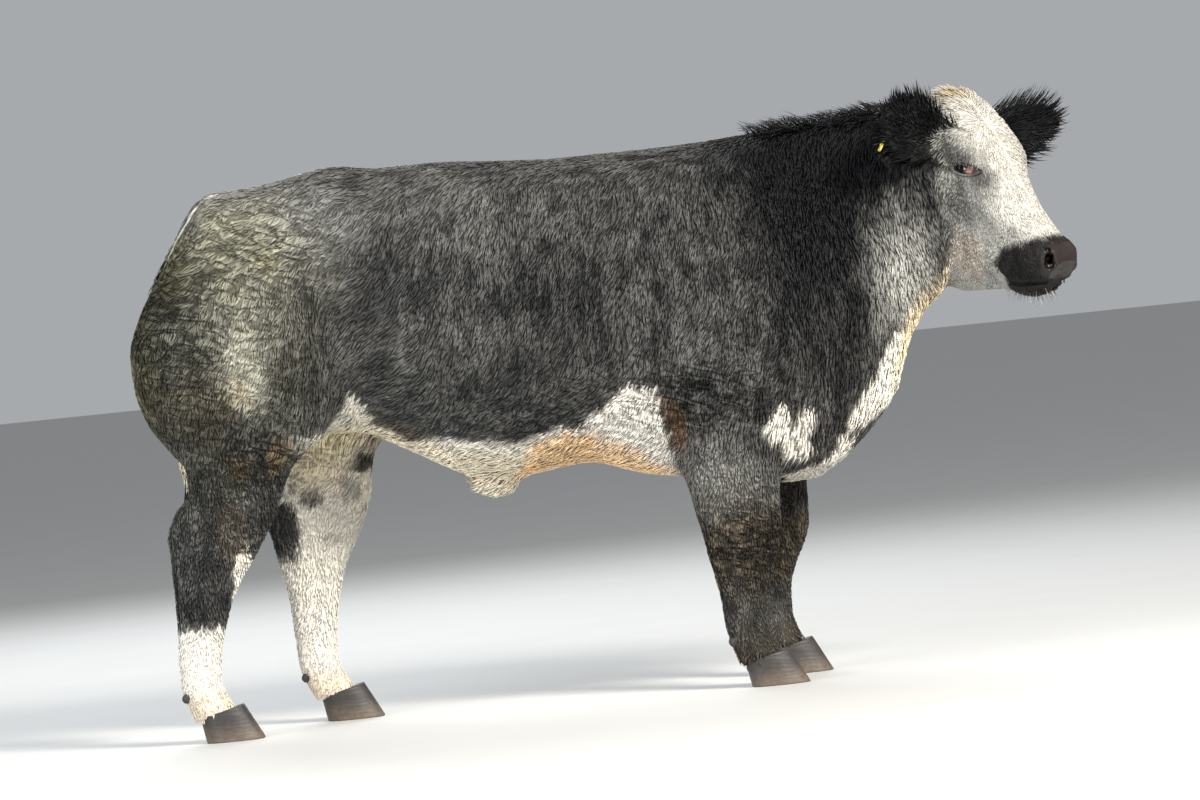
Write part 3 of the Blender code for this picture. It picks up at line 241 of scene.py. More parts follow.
def tube(along, up, side, track, power=2.0):
    """How far a point lies outside a tube: its distance past the superellipse section at its own station."""
    low, wide, high, middle, half = read(track, along)
    b = up - wide
    a = side - middle
    reach = np.where(b > 0, high - wide, wide - low)
    out = np.hypot(a, b) + 1e-9
    share = ((np.abs(a) / half) ** power + (np.abs(b) / reach) ** power) ** (1.0 / power) + 1e-9
    far = out * (1.0 - 1.0 / share)
    past = along - np.clip(along, track[0][0], track[0][-1])
    return np.where(past == 0, far, np.hypot(np.maximum(far, 0), past))


def blend(a, b, width):
    """The nearer of two surfaces, rounded off where they meet within the given width."""
    h = np.maximum(width - np.abs(a - b), 0) / width
    return np.minimum(a, b) - h**3 * width / 6.0


def in_reaches(dx, dy, dz, reach, turn):
    """Squared distance counted in reaches along three axes, turned by some degrees in the upright plane."""
    c, s = math.cos(math.radians(turn)), math.sin(math.radians(turn))
    return ((c * dx + s * dz) / reach[0]) ** 2 + (dy / reach[1]) ** 2 + ((c * dz - s * dx) / reach[2]) ** 2


def swell(x, y, z, middle, reach, turn, height):
    """A soft bell of the given height, longest along its own axis, which is turned in the upright plane."""
    return height * np.exp(-in_reaches(x - middle[0], y - middle[1], z - middle[2], reach, turn))


TRACKS = {
    "trunk": through(TRUNK), "neck": through(NECK), "hind": through(HIND), "fore": through(FORE),
    "tail": through(TAIL), "head": through(HEAD),
    "stance hind": through(STANCE_HIND), "stance fore": through(STANCE_FORE),
}


def stance(kind, z, left):
    """How far forward of the right leg the left one stands at each height."""
    return np.where(left, read(TRACKS["stance " + kind], np.clip(z, 0, 1))[0], 0.0)


def leg(kind, x, y, z, swells):
    left = y > 0
    x = x - stance(kind, z, left)
    out = tube(z, x, np.abs(y), TRACKS[kind], 2.15)
    for values in swells.values():
        out = out - swell(x, np.abs(y), z, *values)
    return out


def tail_dock(x, y, z):
    return tube(z, x, y, TRACKS["tail"])


def body(x, y, z):
    """Trunk, neck and legs as one blended solid."""
    side = np.abs(y)
    out = tube(x, z, y, TRACKS["trunk"], 2.25)
    for values in TRUNK_SWELLS.values():
        out = out - swell(x, side, z, *values)
    out = blend(out, tube(x, z, y, TRACKS["neck"], 2.1), 0.12)
    out = blend(out, leg("fore", x, y, z, FORE_SWELLS), 0.1)
    hind = leg("hind", x, y, z, HIND_SWELLS)
    cleft = swell(x, side, z, (-0.93, 0.0, 0.93), (0.13, 0.03, 0.3), 0, -0.06)
    return blend(out, hind, 0.09) - cleft


def head_axes():
    cp, sp, cy, sy = math.cos(HEAD_PITCH), math.sin(HEAD_PITCH), math.cos(HEAD_YAW), math.sin(HEAD_YAW)
    return np.array(((cp * cy, -cp * sy, -sp), (sy, cy, 0.0), (sp * cy, -sp * sy, cp)))


HEAD_AXES = head_axes()


def to_head(x, y, z):
    d = (x - HEAD_POLL[0], y - HEAD_POLL[1], z - HEAD_POLL[2])
    return [sum(row[i] * d[i] for i in range(3)) for row in HEAD_AXES]


def from_head(point):
    return np.array(HEAD_POLL) + np.array(point) @ HEAD_AXES


def ear_frame(left):
    """Root and the three ways of an ear: out to its tip, across its breadth, and out of its cup."""
    sign = 1.0 if left else -1.0
    root = from_head((EAR_ROOT[0], sign * EAR_ROOT[1], EAR_ROOT[2]))
    forward = np.array((math.cos(HEAD_YAW), -math.sin(HEAD_YAW), 0.0))
    sideways = sign * HEAD_AXES[1]
    swing = math.radians(24.0 if left else 8.0)
    lift = math.radians(5.0 if left else 17.0)
    way = math.cos(lift) * (math.cos(swing) * sideways + math.sin(swing) * forward)
    way = way + np.array((0, 0, math.sin(lift)))
    opens = math.cos(math.radians(25)) * forward + np.array((0, 0, -math.sin(math.radians(25))))
    opens = opens - way * (opens @ way)
    opens /= np.linalg.norm(opens)
    across = np.cross(opens, way)
    across *= np.sign(across[2])
    return root, way, across, opens


EAR_FRAMES = {left: ear_frame(left) for left in (False, True)}


def tag_frame(left):
    """Where a tag hangs from an ear's lower edge, and its ways: along its breadth, up, out of its face."""
    root, way, across, _ = EAR_FRAMES[left]
    along, below = TAG_PLACE[left]
    middle = root + way * EAR_LONG * along - across * EAR_BROAD * below
    face = np.cross(across, (0.1, -1.0, 0.0))
    face /= np.linalg.norm(face)
    return middle, (np.cross(across, face), across, face)


def ear_section(t):
    share, *columns = zip(*EAR_SECTIONS)
    half, curl, thick = (np.interp(t, share, column) for column in columns)
    return half * EAR_BROAD, curl, thick


def ear(x, y, z, left):
    """A leaf-shaped shell, curled into a tube at its root and opening towards its tip."""
    root, way, across, opens = EAR_FRAMES[left]
    d = (x - root[0], y - root[1], z - root[2])
    u, w, g = (sum(axis[i] * d[i] for i in range(3)) for axis in (way, across, opens))
    u = u / EAR_LONG
    t = np.clip(u, 0.0, 1.0)
    half, curl, thick = ear_section(t)
    share = np.clip(w / half, -1.2, 1.2)
    bowl = g - curl * half * (share**2 - 0.45)
    bowl = np.abs(bowl) / np.sqrt(1 + (2 * curl * share) ** 2) - thick
    edge = np.abs(w) - half
    end = (u - t) * EAR_LONG
    out = np.maximum(bowl, edge)
    return np.where(end == 0, out, np.hypot(np.maximum(out, 0), end))


def mouth_level(s):
    """Level of the lips' meeting line along the face."""
    return -np.interp(s, *zip(*MOUTH_LINE))


def mouth_groove(s, b, depth):
    """A shallow groove along the lips' meeting line, from the corner of the mouth round the front."""
    start = 1.0 / (1.0 + np.exp(-(s - 0.412) / 0.006))
    return -depth * start * np.exp(-(((b - mouth_level(s)) / 0.0055) ** 2))


def head(x, y, z):
    s, t, b = to_head(x, y, z)
    side = np.abs(t)
    out = tube(s, b, side, TRACKS["head"], 2.2)
    for values in HEAD_SWELLS.values():
        out = out - swell(s, side, b, *values)
    return out - swell(s, side, b, *NOSTRIL) - mouth_groove(s, b, 0.005)


def eye_middle(left):
    return from_head((EYE[0], EYE[1] if left else -EYE[1], EYE[2]))


# How deep the coat is, in metres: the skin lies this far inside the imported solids.
COAT_DEPTH = {"trunk": 0.0085, "leg": 0.005, "head": 0.0028, "ear": 0.0015}
# The nostril's cavity in the head's frame, as balls of a place and a radius: a round hole with a tail.
NOSTRIL_BALLS = (
    ((0.53, 0.053, -0.113), 0.0125), ((0.516, 0.05, -0.103), 0.0098), ((0.503, 0.051, -0.092), 0.0068),
    ((0.492, 0.053, -0.087), 0.0046), ((0.512, 0.042, -0.114), 0.0115),
)
LID_LONG = 0.03      # half the length of the eye's slit
LID_TALL = 0.0102      # and its heights above and below
LID_LOW = 0.0088


def frame_origin():
    """The outline point that the frame puts at its origin, read from where the right eye's node lies."""
    low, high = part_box("eye_right")
    return eye_middle(False) - (np.array(low) + np.array(high)) / 2 / SIZE


ORIGIN = frame_origin()


def unit(vectors):
    """Vectors along the last axis, each made one long."""
    return vectors / np.maximum(np.linalg.norm(vectors, axis=-1, keepdims=True), 1e-9)


def side_of(left):
    return "left" if left else "right"


def to_metres(points):
    return (np.asarray(points, float) - ORIGIN) * SIZE


def smooth(low, high, value):
    """A soft step from 0 to 1 between two values; it falls where the first is the greater."""
    t = np.clip((value - low) / (high - low), 0.0, 1.0)
    return t * t * (3 - 2 * t)


def lattice(place, seed):
    """A fixed scattered value from 0 to 1 for each whole-numbered place."""
    value = np.sin(place @ np.array((127.1, 311.7, 74.7)) + seed * 19.19) * 43758.5453
    return value - np.floor(value)


def noise(points, scale, seed=0):
    """Smooth noise from -1 to 1: lattice values mixed by a cubic across each cell."""
    q = points * np.asarray(scale) + seed * 3.71
    cell = np.floor(q)
    f = q - cell
    f = f * f * (3 - 2 * f)
    total = 0.0
    for corner in np.ndindex(2, 2, 2):
        share = np.prod(np.where(corner, f, 1 - f), axis=-1)
        total = total + share * lattice(cell + corner, seed)
    return 2 * total - 1


def cloudy(points, scale, seed=0, layers=3):
    """Noise summed over finer and finer scales."""
    total, weight, size = 0.0, 0.5, np.asarray(scale, float)
    for layer in range(layers):
        total = total + weight * noise(points, size, seed + layer)
        size, weight = size * 2.1, weight * 0.5
    return total


def nostril_reach(s, side, b):
    """How far points of the head's frame lie outside the nostril's cavity."""
    near = np.full(np.shape(s), 9.0)
    for (ms, mt, mb), radius in NOSTRIL_BALLS:
        near = blend(near, np.sqrt((s - ms) ** 2 + (side - mt) ** 2 + (b - mb) ** 2) - radius, 0.006)
    return near


def face_relief(p):
    """What the skin adds to the face: a raised rim round each nostril, lips, a jaw line and cheek folds."""
    s, t, b = to_head(*p.T)
    side = np.abs(t)
    hole = nostril_reach(s, side, b)
    out = 0.003 * np.exp(-((hole - 0.0055) / 0.0045) ** 2)
    out = out + mouth_groove(s, b, 0.0075)
    line = mouth_level(s)
    lip = smooth(0.415, 0.45, s)
    out = out + 0.003 * lip * np.exp(-((b - line - 0.012) / 0.008) ** 2)
    out = out + 0.0026 * lip * np.exp(-((b - line + 0.013) / 0.009) ** 2)
    crease = np.hypot((s - 0.47) / 0.05, (b + 0.13) / 0.04)
    out = out - 0.0022 * np.exp(-((crease - 1.0) / 0.12) ** 2) * (s < 0.47)
    philtrum = np.exp(-((t / 0.0022) ** 2)) * smooth(0.5, 0.53, s) * smooth(-0.115, -0.135, b)
    return out - 0.003 * philtrum, hole


def own_field(p, lids=True):
    """How far outline points lie from the skin: the solids' own surface, less the depth of the coat there."""
    x, y, z = p.T
    body_part = blend(body(x, y, z), tail_dock(x, y, z), 0.012)
    head_part = head(x, y, z)
    out = blend(body_part, head_part, 0.05)
    leg_share = smooth(0.78, 0.6, z)
    depth = COAT_DEPTH["trunk"] * (1 - leg_share) + COAT_DEPTH["leg"] * leg_share
    head_share = smooth(0.06, -0.02, head_part - body_part)
    depth = depth * (1 - head_share) + COAT_DEPTH["head"] * head_share
    for left in (False, True):
        middle = eye_middle(left)
        ball = np.sqrt(((p - middle) ** 2).sum(axis=1)) - EYE_RADIUS - 0.005
        out = blend(out, ball, 0.02)
    out = out + depth / SIZE
    near = (np.abs(out) < 0.05) & (head_share > 0.5)
    if near.any():
        raised, hole = face_relief(p[near])
        out[near] = np.maximum(out[near] - raised, -hole)
    for left in (False, True):
        out = blend(out, ear(x, y, z, left) + COAT_DEPTH["ear"] / SIZE, 0.02)
        if lids:
            out = np.maximum(out, -lid_opening(p, left))
    return out


def eye_place(p, left):
    """Places in an eye's own frame: along its slit towards the nose, up across it, and out of the head."""
    sign = 1.0 if left else -1.0
    d = p - eye_middle(left)
    s, t, b = (d @ HEAD_AXES[i] for i in range(3))
    c, k = math.cos(EYE_TILT), math.sin(EYE_TILT)
    return np.stack([c * s - k * b, k * s + c * b, sign * t], axis=-1)


def from_eye(u, v, w, left):
    """Outline points from places in an eye's own frame."""
    sign = 1.0 if left else -1.0
    c, k = math.cos(EYE_TILT), math.sin(EYE_TILT)
    local = np.stack([c * u + k * v, sign * w, -k * u + c * v], axis=-1)
    return eye_middle(left) + local @ HEAD_AXES


def lid_opening(p, left):
    """An almond hole outwards from the middle of the eyeball, a little wider than the lids' own edge."""
    u, v, w = eye_place(p, left).T
    tall = np.where(v > 0, LID_TALL, LID_LOW) * 1.12
    hole = (np.sqrt((u / (LID_LONG * 1.06)) ** 2 + (np.abs(v) / tall) ** 1.6) - 1.0) * 0.01
    return np.maximum(hole, 0.004 - w)


def sampled(field, low, high, step):
    """Field values on an even grid, worked out in full only near the surface that a coarser grid finds."""
    low, high = np.array(low, float), np.array(high, float)
    coarse = 3
    blocks = np.ceil((high - low) / (step * coarse)).astype(int)
    axes = [low[i] + step * coarse * (np.arange(blocks[i]) + 0.5) for i in range(3)]
    middle = np.stack(np.meshgrid(*axes, indexing="ij"), axis=-1)
    rough = field(middle.reshape(-1, 3)).reshape(blocks)
    values = np.repeat(np.repeat(np.repeat(rough, coarse, 0), coarse, 1), coarse, 2)
    near = np.abs(values) < step * coarse * 2.2
    index = np.argwhere(near)
    values[near] = field(low + step * (index + 0.5))
    return values, low + 0.5 * step


def levelled(field, low, high, step, sweeps=2):
    """Points and quads of the field's level surface, each point then moved onto it down the field's slope."""
    values, start = sampled(field, low, high, step)
    for axis in range(3):
        edge = [slice(None)] * 3
        for end in (slice(0, 2), slice(-2, None)):
            edge[axis] = end
            values[tuple(edge)] = np.maximum(values[tuple(edge)], 0.5 * step)
    grid = openvdb.FloatGrid(background=1.0)
    grid.copyFromArray((values / step).astype(np.float32))
    points, quads = grid.convertToQuads(isovalue=0.0)
    points = points * step + start
    ways = np.eye(3) * 0.001
    for _ in range(sweeps):
        value = field(points)
        slope = np.stack([(field(points + way) - field(points - way)) / 0.002 for way in ways], axis=1)
        shift = (value / np.maximum((slope**2).sum(axis=1), 0.25))[:, None] * slope
        length = np.linalg.norm(shift, axis=1, keepdims=True)
        points = points - shift * np.minimum(1.0, 0.5 * step / np.maximum(length, 1e-9))
    return points, quads


def new_mesh(name, points, faces, uv=None, **values):
    """One object from arrays of points and equal-sided faces, with UVs per corner and values per point."""
    faces = np.asarray(faces)
    sides = faces.shape[1]
    mesh = bpy.data.meshes.new(name)
    mesh.vertices.add(len(points))
    mesh.vertices.foreach_set("co", np.asarray(points, np.float32).ravel())
    mesh.loops.add(faces.size)
    mesh.loops.foreach_set("vertex_index", faces.astype(np.int32).ravel())
    mesh.polygons.add(len(faces))
    mesh.polygons.foreach_set("loop_start", np.arange(len(faces), dtype=np.int32) * sides)
    mesh.update(calc_edges=True)
    mesh.validate()
    if uv is not None:
        mesh.uv_layers.new(name="OFBake").data.foreach_set("uv", np.asarray(uv, np.float32).ravel())
    mesh.shade_smooth()
    made = bpy.data.objects.new(name, mesh)
    bpy.context.scene.collection.objects.link(made)
    paint(made, **values)
    return made


def paint(made, **values):
    """Values per point as attributes of a piece: three columns make a colour."""
    for key, value in values.items():
        value = np.asarray(value, np.float32)
        if value.ndim == 2:
            layer = made.data.attributes.new(key, "FLOAT_COLOR", "POINT")
            layer.data.foreach_set("color", np.hstack([value, np.ones((len(value), 1), np.float32)]).ravel())
        else:
            made.data.attributes.new(key, "FLOAT", "POINT").data.foreach_set("value", value)


def welded(made):
    """Merges points that share a place, turns all faces outwards and shades them smooth."""
    shape = bmesh.new()
    shape.from_mesh(made.data)
    bmesh.ops.remove_doubles(shape, verts=shape.verts, dist=1e-6)
    bmesh.ops.recalc_face_normals(shape, faces=shape.faces)
    shape.to_mesh(made.data)
    shape.free()
    made.data.shade_smooth()
    return made


def triples(items, key, kind=np.float32):
    """Three values of each of a mesh's items, as rows."""
    values = np.empty(len(items) * 3, kind)
    items.foreach_get(key, values)
    return values.reshape(-1, 3)


def points_of(made):
    return triples(made.data.vertices, "co").astype(float)


# Colours of hair and skin, as linear values.
BLACK = np.array((0.0075, 0.0078, 0.0092))
SILVER = np.array((0.455, 0.448, 0.415))
WHITE = np.array((0.88, 0.838, 0.752))
TAN = np.array((0.31, 0.178, 0.09))
FAWN = np.array((0.42, 0.29, 0.17))
CREAM = np.array((0.56, 0.44, 0.25))
OLIVE = np.array((0.09, 0.084, 0.034))
MUD = np.array((0.072, 0.056, 0.038))
HORN_BLACK = np.array((0.0085, 0.008, 0.0085))

# How light the roan is: middle, reach along X, outwards and Z, and what is added to its share of white hair.
ROAN = (
    ("crest", (0.8, 0.05, 1.32), (0.24, 0.4, 0.18), -0.46),
    ("neck side above", (0.76, 0.2, 1.12), (0.13, 0.3, 0.14), -0.26),
    ("neck middle", (0.72, 0.28, 0.96), (0.12, 0.3, 0.18), -0.2),
    ("dark streak", (0.832, 0.2, 0.9), (0.034, 0.3, 0.12), -0.22),
    ("dark streak below", (0.79, 0.2, 0.74), (0.04, 0.3, 0.09), -0.2),
    ("light neck", (0.95, 0.15, 1.04), (0.08, 0.3, 0.13), 0.4),
    ("throat side", (0.96, 0.15, 0.9), (0.06, 0.3, 0.12), 0.34),
    ("shoulder", (0.44, 0.3, 1.0), (0.16, 0.3, 0.2), -0.05),
    ("back light", (-0.06, 0.25, 1.16), (0.07, 0.3, 0.08), 0.12),
    ("back dark", (-0.28, 0.25, 1.12), (0.06, 0.3, 0.1), -0.1),
    ("flank light", (0.0, 0.3, 0.93), (0.1, 0.3, 0.05), 0.1),
    ("ribs", (0.06, 0.3, 1.0), (0.2, 0.3, 0.16), -0.1),
    ("loin", (-0.22, 0.25, 1.24), (0.16, 0.3, 0.1), 0.08),
    ("lower ribs", (0.02, 0.3, 0.78), (0.22, 0.3, 0.07), -0.03),
    ("flank", (-0.33, 0.3, 1.0), (0.07, 0.3, 0.18), -0.06),
    ("rump back", (-0.86, 0.2, 1.12), (0.08, 0.3, 0.12), -0.24),
    ("rump", (-0.58, 0.2, 1.22), (0.2, 0.3, 0.12), 0.56),
    ("hip", (-0.64, 0.3, 1.02), (0.12, 0.3, 0.1), 0.36),
    # A much lighter spot on the outer thigh.
    ("thigh bright spot", (-0.64, 0.35, 0.88), (0.045, 0.3, 0.08), 1.25),
    ("thigh below", (-0.68, 0.3, 0.755), (0.12, 0.3, 0.05), -0.06),
    ("buttock", (-0.9, 0.2, 0.93), (0.07, 0.3, 0.2), 0.05),
    ("shank front", (-0.69, 0.2, 0.54), (0.035, 0.3, 0.08), 0.18),
    ("foreleg", (0.47, 0.2, 0.52), (0.12, 0.3, 0.1), 0.36),
    ("knee", (0.55, 0.2, 0.31), (0.1, 0.3, 0.12), -0.04),
    ("tail", (-0.8, 0.0, 1.2), (0.1, 0.045, 0.1), -0.12),
    ("tail below", (-0.87, 0.0, 0.9), (0.06, 0.045, 0.34), -0.28),
)
# Outlines of the solid markings in the upright plane, as X and Z.
WHITE_OUTLINES = (
    ((0.15, 0.688), (0.222, 0.732), (0.27, 0.768), (0.332, 0.757), (0.35, 0.64), (0.374, 0.535), (0.3, 0.596),
     (0.19, 0.65)),
    ((-0.54, 0.69), (-0.48, 0.724), (-0.435, 0.752), (-0.42, 0.78), (-0.398, 0.822), (-0.374, 0.786),
     (-0.335, 0.738), (-0.27, 0.695), (-0.29, 0.64), (-0.42, 0.64)),
    ((0.585, 0.64), (0.605, 0.668), (0.64, 0.69), (0.66, 0.64), (0.69, 0.69), (0.712, 0.664), (0.69, 0.6),
     (0.7, 0.56), (0.66, 0.545), (0.625, 0.56)),
    ((0.61, 0.505), (0.64, 0.47), (0.72, 0.48), (0.8, 0.545), (0.815, 0.6), (0.775, 0.605), (0.74, 0.555),
     (0.69, 0.53)),
    ((0.79, 0.6), (0.9, 0.66), (0.98, 0.78), (0.975, 0.85), (0.922, 0.836), (0.88, 0.76), (0.845, 0.705),
     (0.8, 0.65)),
)
TAN_OUTLINES = (
    (((0.0, 0.56), (0.04, 0.648), (0.128, 0.672), (0.19, 0.655), (0.28, 0.61), (0.378, 0.535), (0.36, 0.5),
      (0.25, 0.545), (0.1, 0.56)), 0.9),
    (((0.34, 0.74), (0.388, 0.716), (0.398, 0.64), (0.388, 0.56), (0.366, 0.6), (0.352, 0.67)), 0.8),
)
# Softer stains: middle, reach, turn in degrees, strength.
TAN_PATCHES = (
    ((-0.58, 0.25, 0.69), (0.022, 0.2, 0.05), -32, 0.75),
    ((-0.68, 0.27, 0.655), (0.036, 0.2, 0.032), 35, 0.62),
    ((-0.655, 0.35, 0.83), (0.042, 0.2, 0.05), -10, 0.2),
    ((-0.71, 0.25, 0.5), (0.035, 0.2, 0.07), 0, 0.28),
    ((-0.9, 0.2, 0.88), (0.05, 0.3, 0.11), 0, 0.3),
    ((-0.76, 0.3, 0.83), (0.1, 0.3, 0.08), 0, 0.18),
)
OLIVE_PATCHES = (
    ((-0.85, 0.15, 1.13), (0.11, 0.3, 0.11), -40, 0.62),
    ((-0.56, 0.25, 1.15), (0.022, 0.2, 0.03), 0, 0.45),
    ((-0.68, 0.2, 1.17), (0.17, 0.3, 0.11), 0, 0.2),
    ((-0.9, 0.2, 0.95), (0.06, 0.3, 0.2), 0, 0.36),
    ((-0.72, 0.3, 0.95), (0.26, 0.4, 0.36), 0, 0.24),
)
# White bands that aren't outlines: middle, reach, turn.
WHITE_BANDS = (
    ((-0.083, 0.0, 0.53), (0.075, 0.06, 0.035), 0),
    ((-0.36, 0.0, 1.36), (0.36, 0.03, 0.08), 0),
    ((0.08, 0.0, 1.34), (0.2, 0.016, 0.08), 0),
    ((-0.77, 0.072, 1.235), (0.13, 0.026, 0.12), 40),
    ((-0.85, 0.05, 1.075), (0.045, 0.04, 0.1), 0),
    )
BELLY_EDGE = (
    (-0.5, 0.02), (-0.25, 0.04), (-0.17, 0.086), (0.02, 0.084), (0.1, 0.11), (0.34, 0.06), (0.4, 0.0),
)
MUZZLE_EDGE = (
    (-0.25, 0.478), (-0.235, 0.448), (-0.21, 0.406), (-0.165, 0.412), (-0.117, 0.438), (-0.079, 0.474),
    (-0.05, 0.486),
)
BLAZE_HALF = (
    (0.02, 0.02), (0.06, 0.052), (0.113, 0.08), (0.162, 0.084), (0.221, 0.064), (0.274, 0.048),
    (0.33, 0.066), (0.365, 0.074), (0.408, 0.07), (0.47, 0.06),
)
# Lighter and darker places on the face: along it, out of the forehead, their reach, and what is added.
FACE_TONES = (
    (0.05, -0.045, 0.045, 0.035, 0.16), (0.225, -0.15, 0.045, 0.03, -0.24),
    (0.145, -0.14, 0.03, 0.03, -0.16), (0.265, -0.155, 0.035, 0.02, -0.16),
    (0.272, -0.065, 0.016, 0.016, -0.26), (0.13, -0.06, 0.05, 0.03, -0.16),
    (0.18, -0.035, 0.03, 0.02, -0.1), (0.36, -0.14, 0.05, 0.045, 0.14), (0.4, -0.112, 0.02, 0.014, -0.34),
    (0.19, -0.24, 0.06, 0.05, -0.06), (0.33, -0.33, 0.06, 0.03, -0.12), (0.22, -0.075, 0.05, 0.03, -0.22),
    (0.33, -0.245, 0.06, 0.05, -0.2),
)


def reach_of(p, middle, reach, turn=0.0):
    """How many reaches a point lies from a patch's middle, the same on both flanks: 1 is the patch's edge."""
    dy = (np.abs(p[:, 1]) if middle[1] >= 0 else p[:, 1]) - middle[1]
    return np.sqrt(in_reaches(p[:, 0] - middle[0], dy, p[:, 2] - middle[2], reach, turn))


def past_outline(p, outline):
    """How far points lie outside an outline drawn in the upright plane, negative inside it."""
    x, z = p[:, 0], p[:, 2]
    inside = np.zeros(len(p), bool)
    near = np.full(len(p), 9.0)
    for (ax, az), (bx, bz) in zip(outline, outline[1:] + outline[:1]):
        dx, dz = bx - ax, bz - az
        t = np.clip(((x - ax) * dx + (z - az) * dz) / (dx * dx + dz * dz), 0, 1)
        near = np.minimum(near, np.hypot(x - ax - t * dx, z - az - t * dz))
        inside ^= ((az > z) != (bz > z)) & (x < dx * (z - az) / (dz if dz else 1.0) + ax)
    return np.where(inside, -near, near)


def head_share_of(p):
    """1 on the head and 0 on the neck, changing over a few centimetres."""
    return smooth(0.03, -0.03, head(*p.T) - body(*p.T))


def ear_share_of(p):
    """1 on an ear and 0 elsewhere."""
    return smooth(0.02, 0.004, np.minimum(ear(*p.T, False), ear(*p.T, True)))


def underside(p):
    """How far outline points lie above the lowest line of the trunk and neck at their own station."""
    x, _, z = p.T
    return z - np.where(x > 0.86, read(TRACKS["neck"], x)[0], read(TRACKS["trunk"], x)[0])


def leg_share_of(p):
    """1 on the legs below the trunk and 0 on the trunk."""
    x, y, z = p.T
    fore = smooth(0.03, 0.0, leg("fore", x, y, z, FORE_SWELLS)) * smooth(0.62, 0.56, z)
    hind = smooth(0.03, 0.0, leg("hind", x, y, z, HIND_SWELLS)) * smooth(0.74, 0.66, z)
    return np.maximum(fore, hind)


def body_marks(p, rag):
    """Shares of white hair on the trunk and neck: solid markings, and how light the roan is elsewhere."""
    x = p[:, 0]
    light = 0.215 + 0.12 * cloudy(p, (7.0, 5.0, 4.5), 11) + 0.05 * noise(p, (26.0, 20.0, 12.0), 5)
    streaks = 0.035 + 0.06 * smooth(0.5, 0.7, x)
    light = light + streaks * noise(p, (80.0, 60.0, 19.0), 13)
    for _, middle, reach, more in ROAN:
        light = light + more * np.exp(-reach_of(p, middle, reach) ** 2)
    white = np.zeros(len(p))
    for middle, reach, turn in WHITE_BANDS:
        white = np.maximum(white, smooth(1.15, 0.8, reach_of(p, middle, reach, turn) + rag))
    other = p + np.where(p[:, 1:2] > 0, (0.05, 0.0, -0.03), (0.0, 0.0, 0.0))
    for outline in WHITE_OUTLINES:
        white = np.maximum(white, smooth(0.008, -0.008, past_outline(other, outline) + 0.018 * rag))
    above = underside(p)
    edge = np.interp(x, *zip(*BELLY_EDGE))
    belly = smooth(0.01, -0.012, above - edge + 0.022 * rag) * smooth(0.4, 0.36, x)
    belly = belly * smooth(-0.58, -0.46, x)
    throat = smooth(0.88, 0.93, x) * smooth(0.085, 0.02, above + 0.05 * rag)
    white = np.maximum(white, np.maximum(belly, 0.8 * throat))
    return white * (1 - leg_share_of(p)), light


def leg_marks(p, rag):
    """White on the legs: the right hind foot, nearly all of the left hind leg, and pale inner thighs."""
    x, y, z = p.T
    hind = smooth(-0.24, -0.3, x)
    left = y > 0
    sock = hind * ~left * smooth(0.292, 0.27, z + 0.016 * rag)
    front = smooth(1.15, 0.8, reach_of(p, (-0.706, 0.18, 0.39), (0.022, 0.1, 0.08), -14) + 0.7 * rag)
    spots = np.zeros(len(p))
    for middle, reach in (
        ((-0.4, 0.12, 0.645), (0.055, 0.2, 0.034)), ((-0.535, 0.1, 0.56), (0.03, 0.1, 0.026)),
        ((-0.615, 0.14, 0.49), (0.04, 0.2, 0.085)), ((-0.46, 0.12, 0.6), (0.016, 0.2, 0.012)),
    ):
        spots = np.maximum(spots, smooth(1.25, 0.75, reach_of(p, middle, reach) + 0.8 * rag))
    spots = np.maximum(spots, 0.5 * smooth(0.35, 0.6, noise(p, 30.0, 23)) * smooth(0.4, 0.48, z))
    pale = hind * left * smooth(0.72, 0.66, z + 0.03 * rag) * (1 - spots)
    inner = hind * smooth(0.125, 0.085, np.abs(y)) * smooth(0.5, 0.6, z) * smooth(0.8, 0.72, z)
    return np.maximum(np.maximum(sock, ~left * hind * front), np.maximum(pale, inner))


def mud_on(p):
    """Dried mud: on the front of the knees, round the feet and thinly up the front legs."""
    x, _, z = p.T
    fore = smooth(0.28, 0.34, x) * smooth(0.56, 0.42, z)
    knee = fore * smooth(1.3, 0.4, np.abs(z - 0.32) / 0.11 + 0.8 * cloudy(p, 14.0, 31))
    foot = smooth(0.15, 0.085, z + 0.05 * cloudy(p, 24.0, 33))
    return np.clip(0.8 * knee + 0.66 * foot + 0.16 * fore, 0, 1)


def head_marks(p, rag):
    """White, roan and black on the head, in its own frame: a broad blaze, grey cheeks, a black muzzle."""
    s, t, b = to_head(*p.T)
    side = np.abs(t)
    half = np.interp(s, *zip(*BLAZE_HALF))
    blaze = smooth(0.026, -0.026, side - half + 0.034 * rag) * smooth(-0.13, -0.09, b + 0.02 * rag)
    blaze = blaze * smooth(0.01, 0.05, s) * (1 - 0.5 * smooth(0.17, 0.06, s) * smooth(-0.2, 0.5, rag))
    light = 0.53 + 0.14 * cloudy(p, 14.0, 45) + 0.18 * noise(p, (60.0, 60.0, 26.0), 47)
    light = light + 0.34 * smooth(0.075, 0.0, side - half)
    for along, out, reach_s, reach_b, more in FACE_TONES:
        light = light + more * np.exp(-((s - along) / reach_s) ** 2 - ((b - out) / reach_b) ** 2)
    light -= 0.55 * smooth(0.015, -0.025, s)
    edge = np.interp(b, *zip(*MUZZLE_EDGE))
    muzzle = smooth(-0.016, 0.008, s - edge + 0.016 * rag)
    return blaze * (1 - muzzle), light, muzzle


def bare_nose(p):
    """1 on the bare wet pad between and round the nostrils."""
    s, t, b = to_head(*p.T)
    side = np.abs(t)
    front = smooth(0.482, 0.49, s - 0.9 * np.maximum(side - 0.044, 0.0))
    front = front * smooth(-0.158, -0.146, b - 0.1 * side)
    return front * smooth(0.072, 0.062, side)


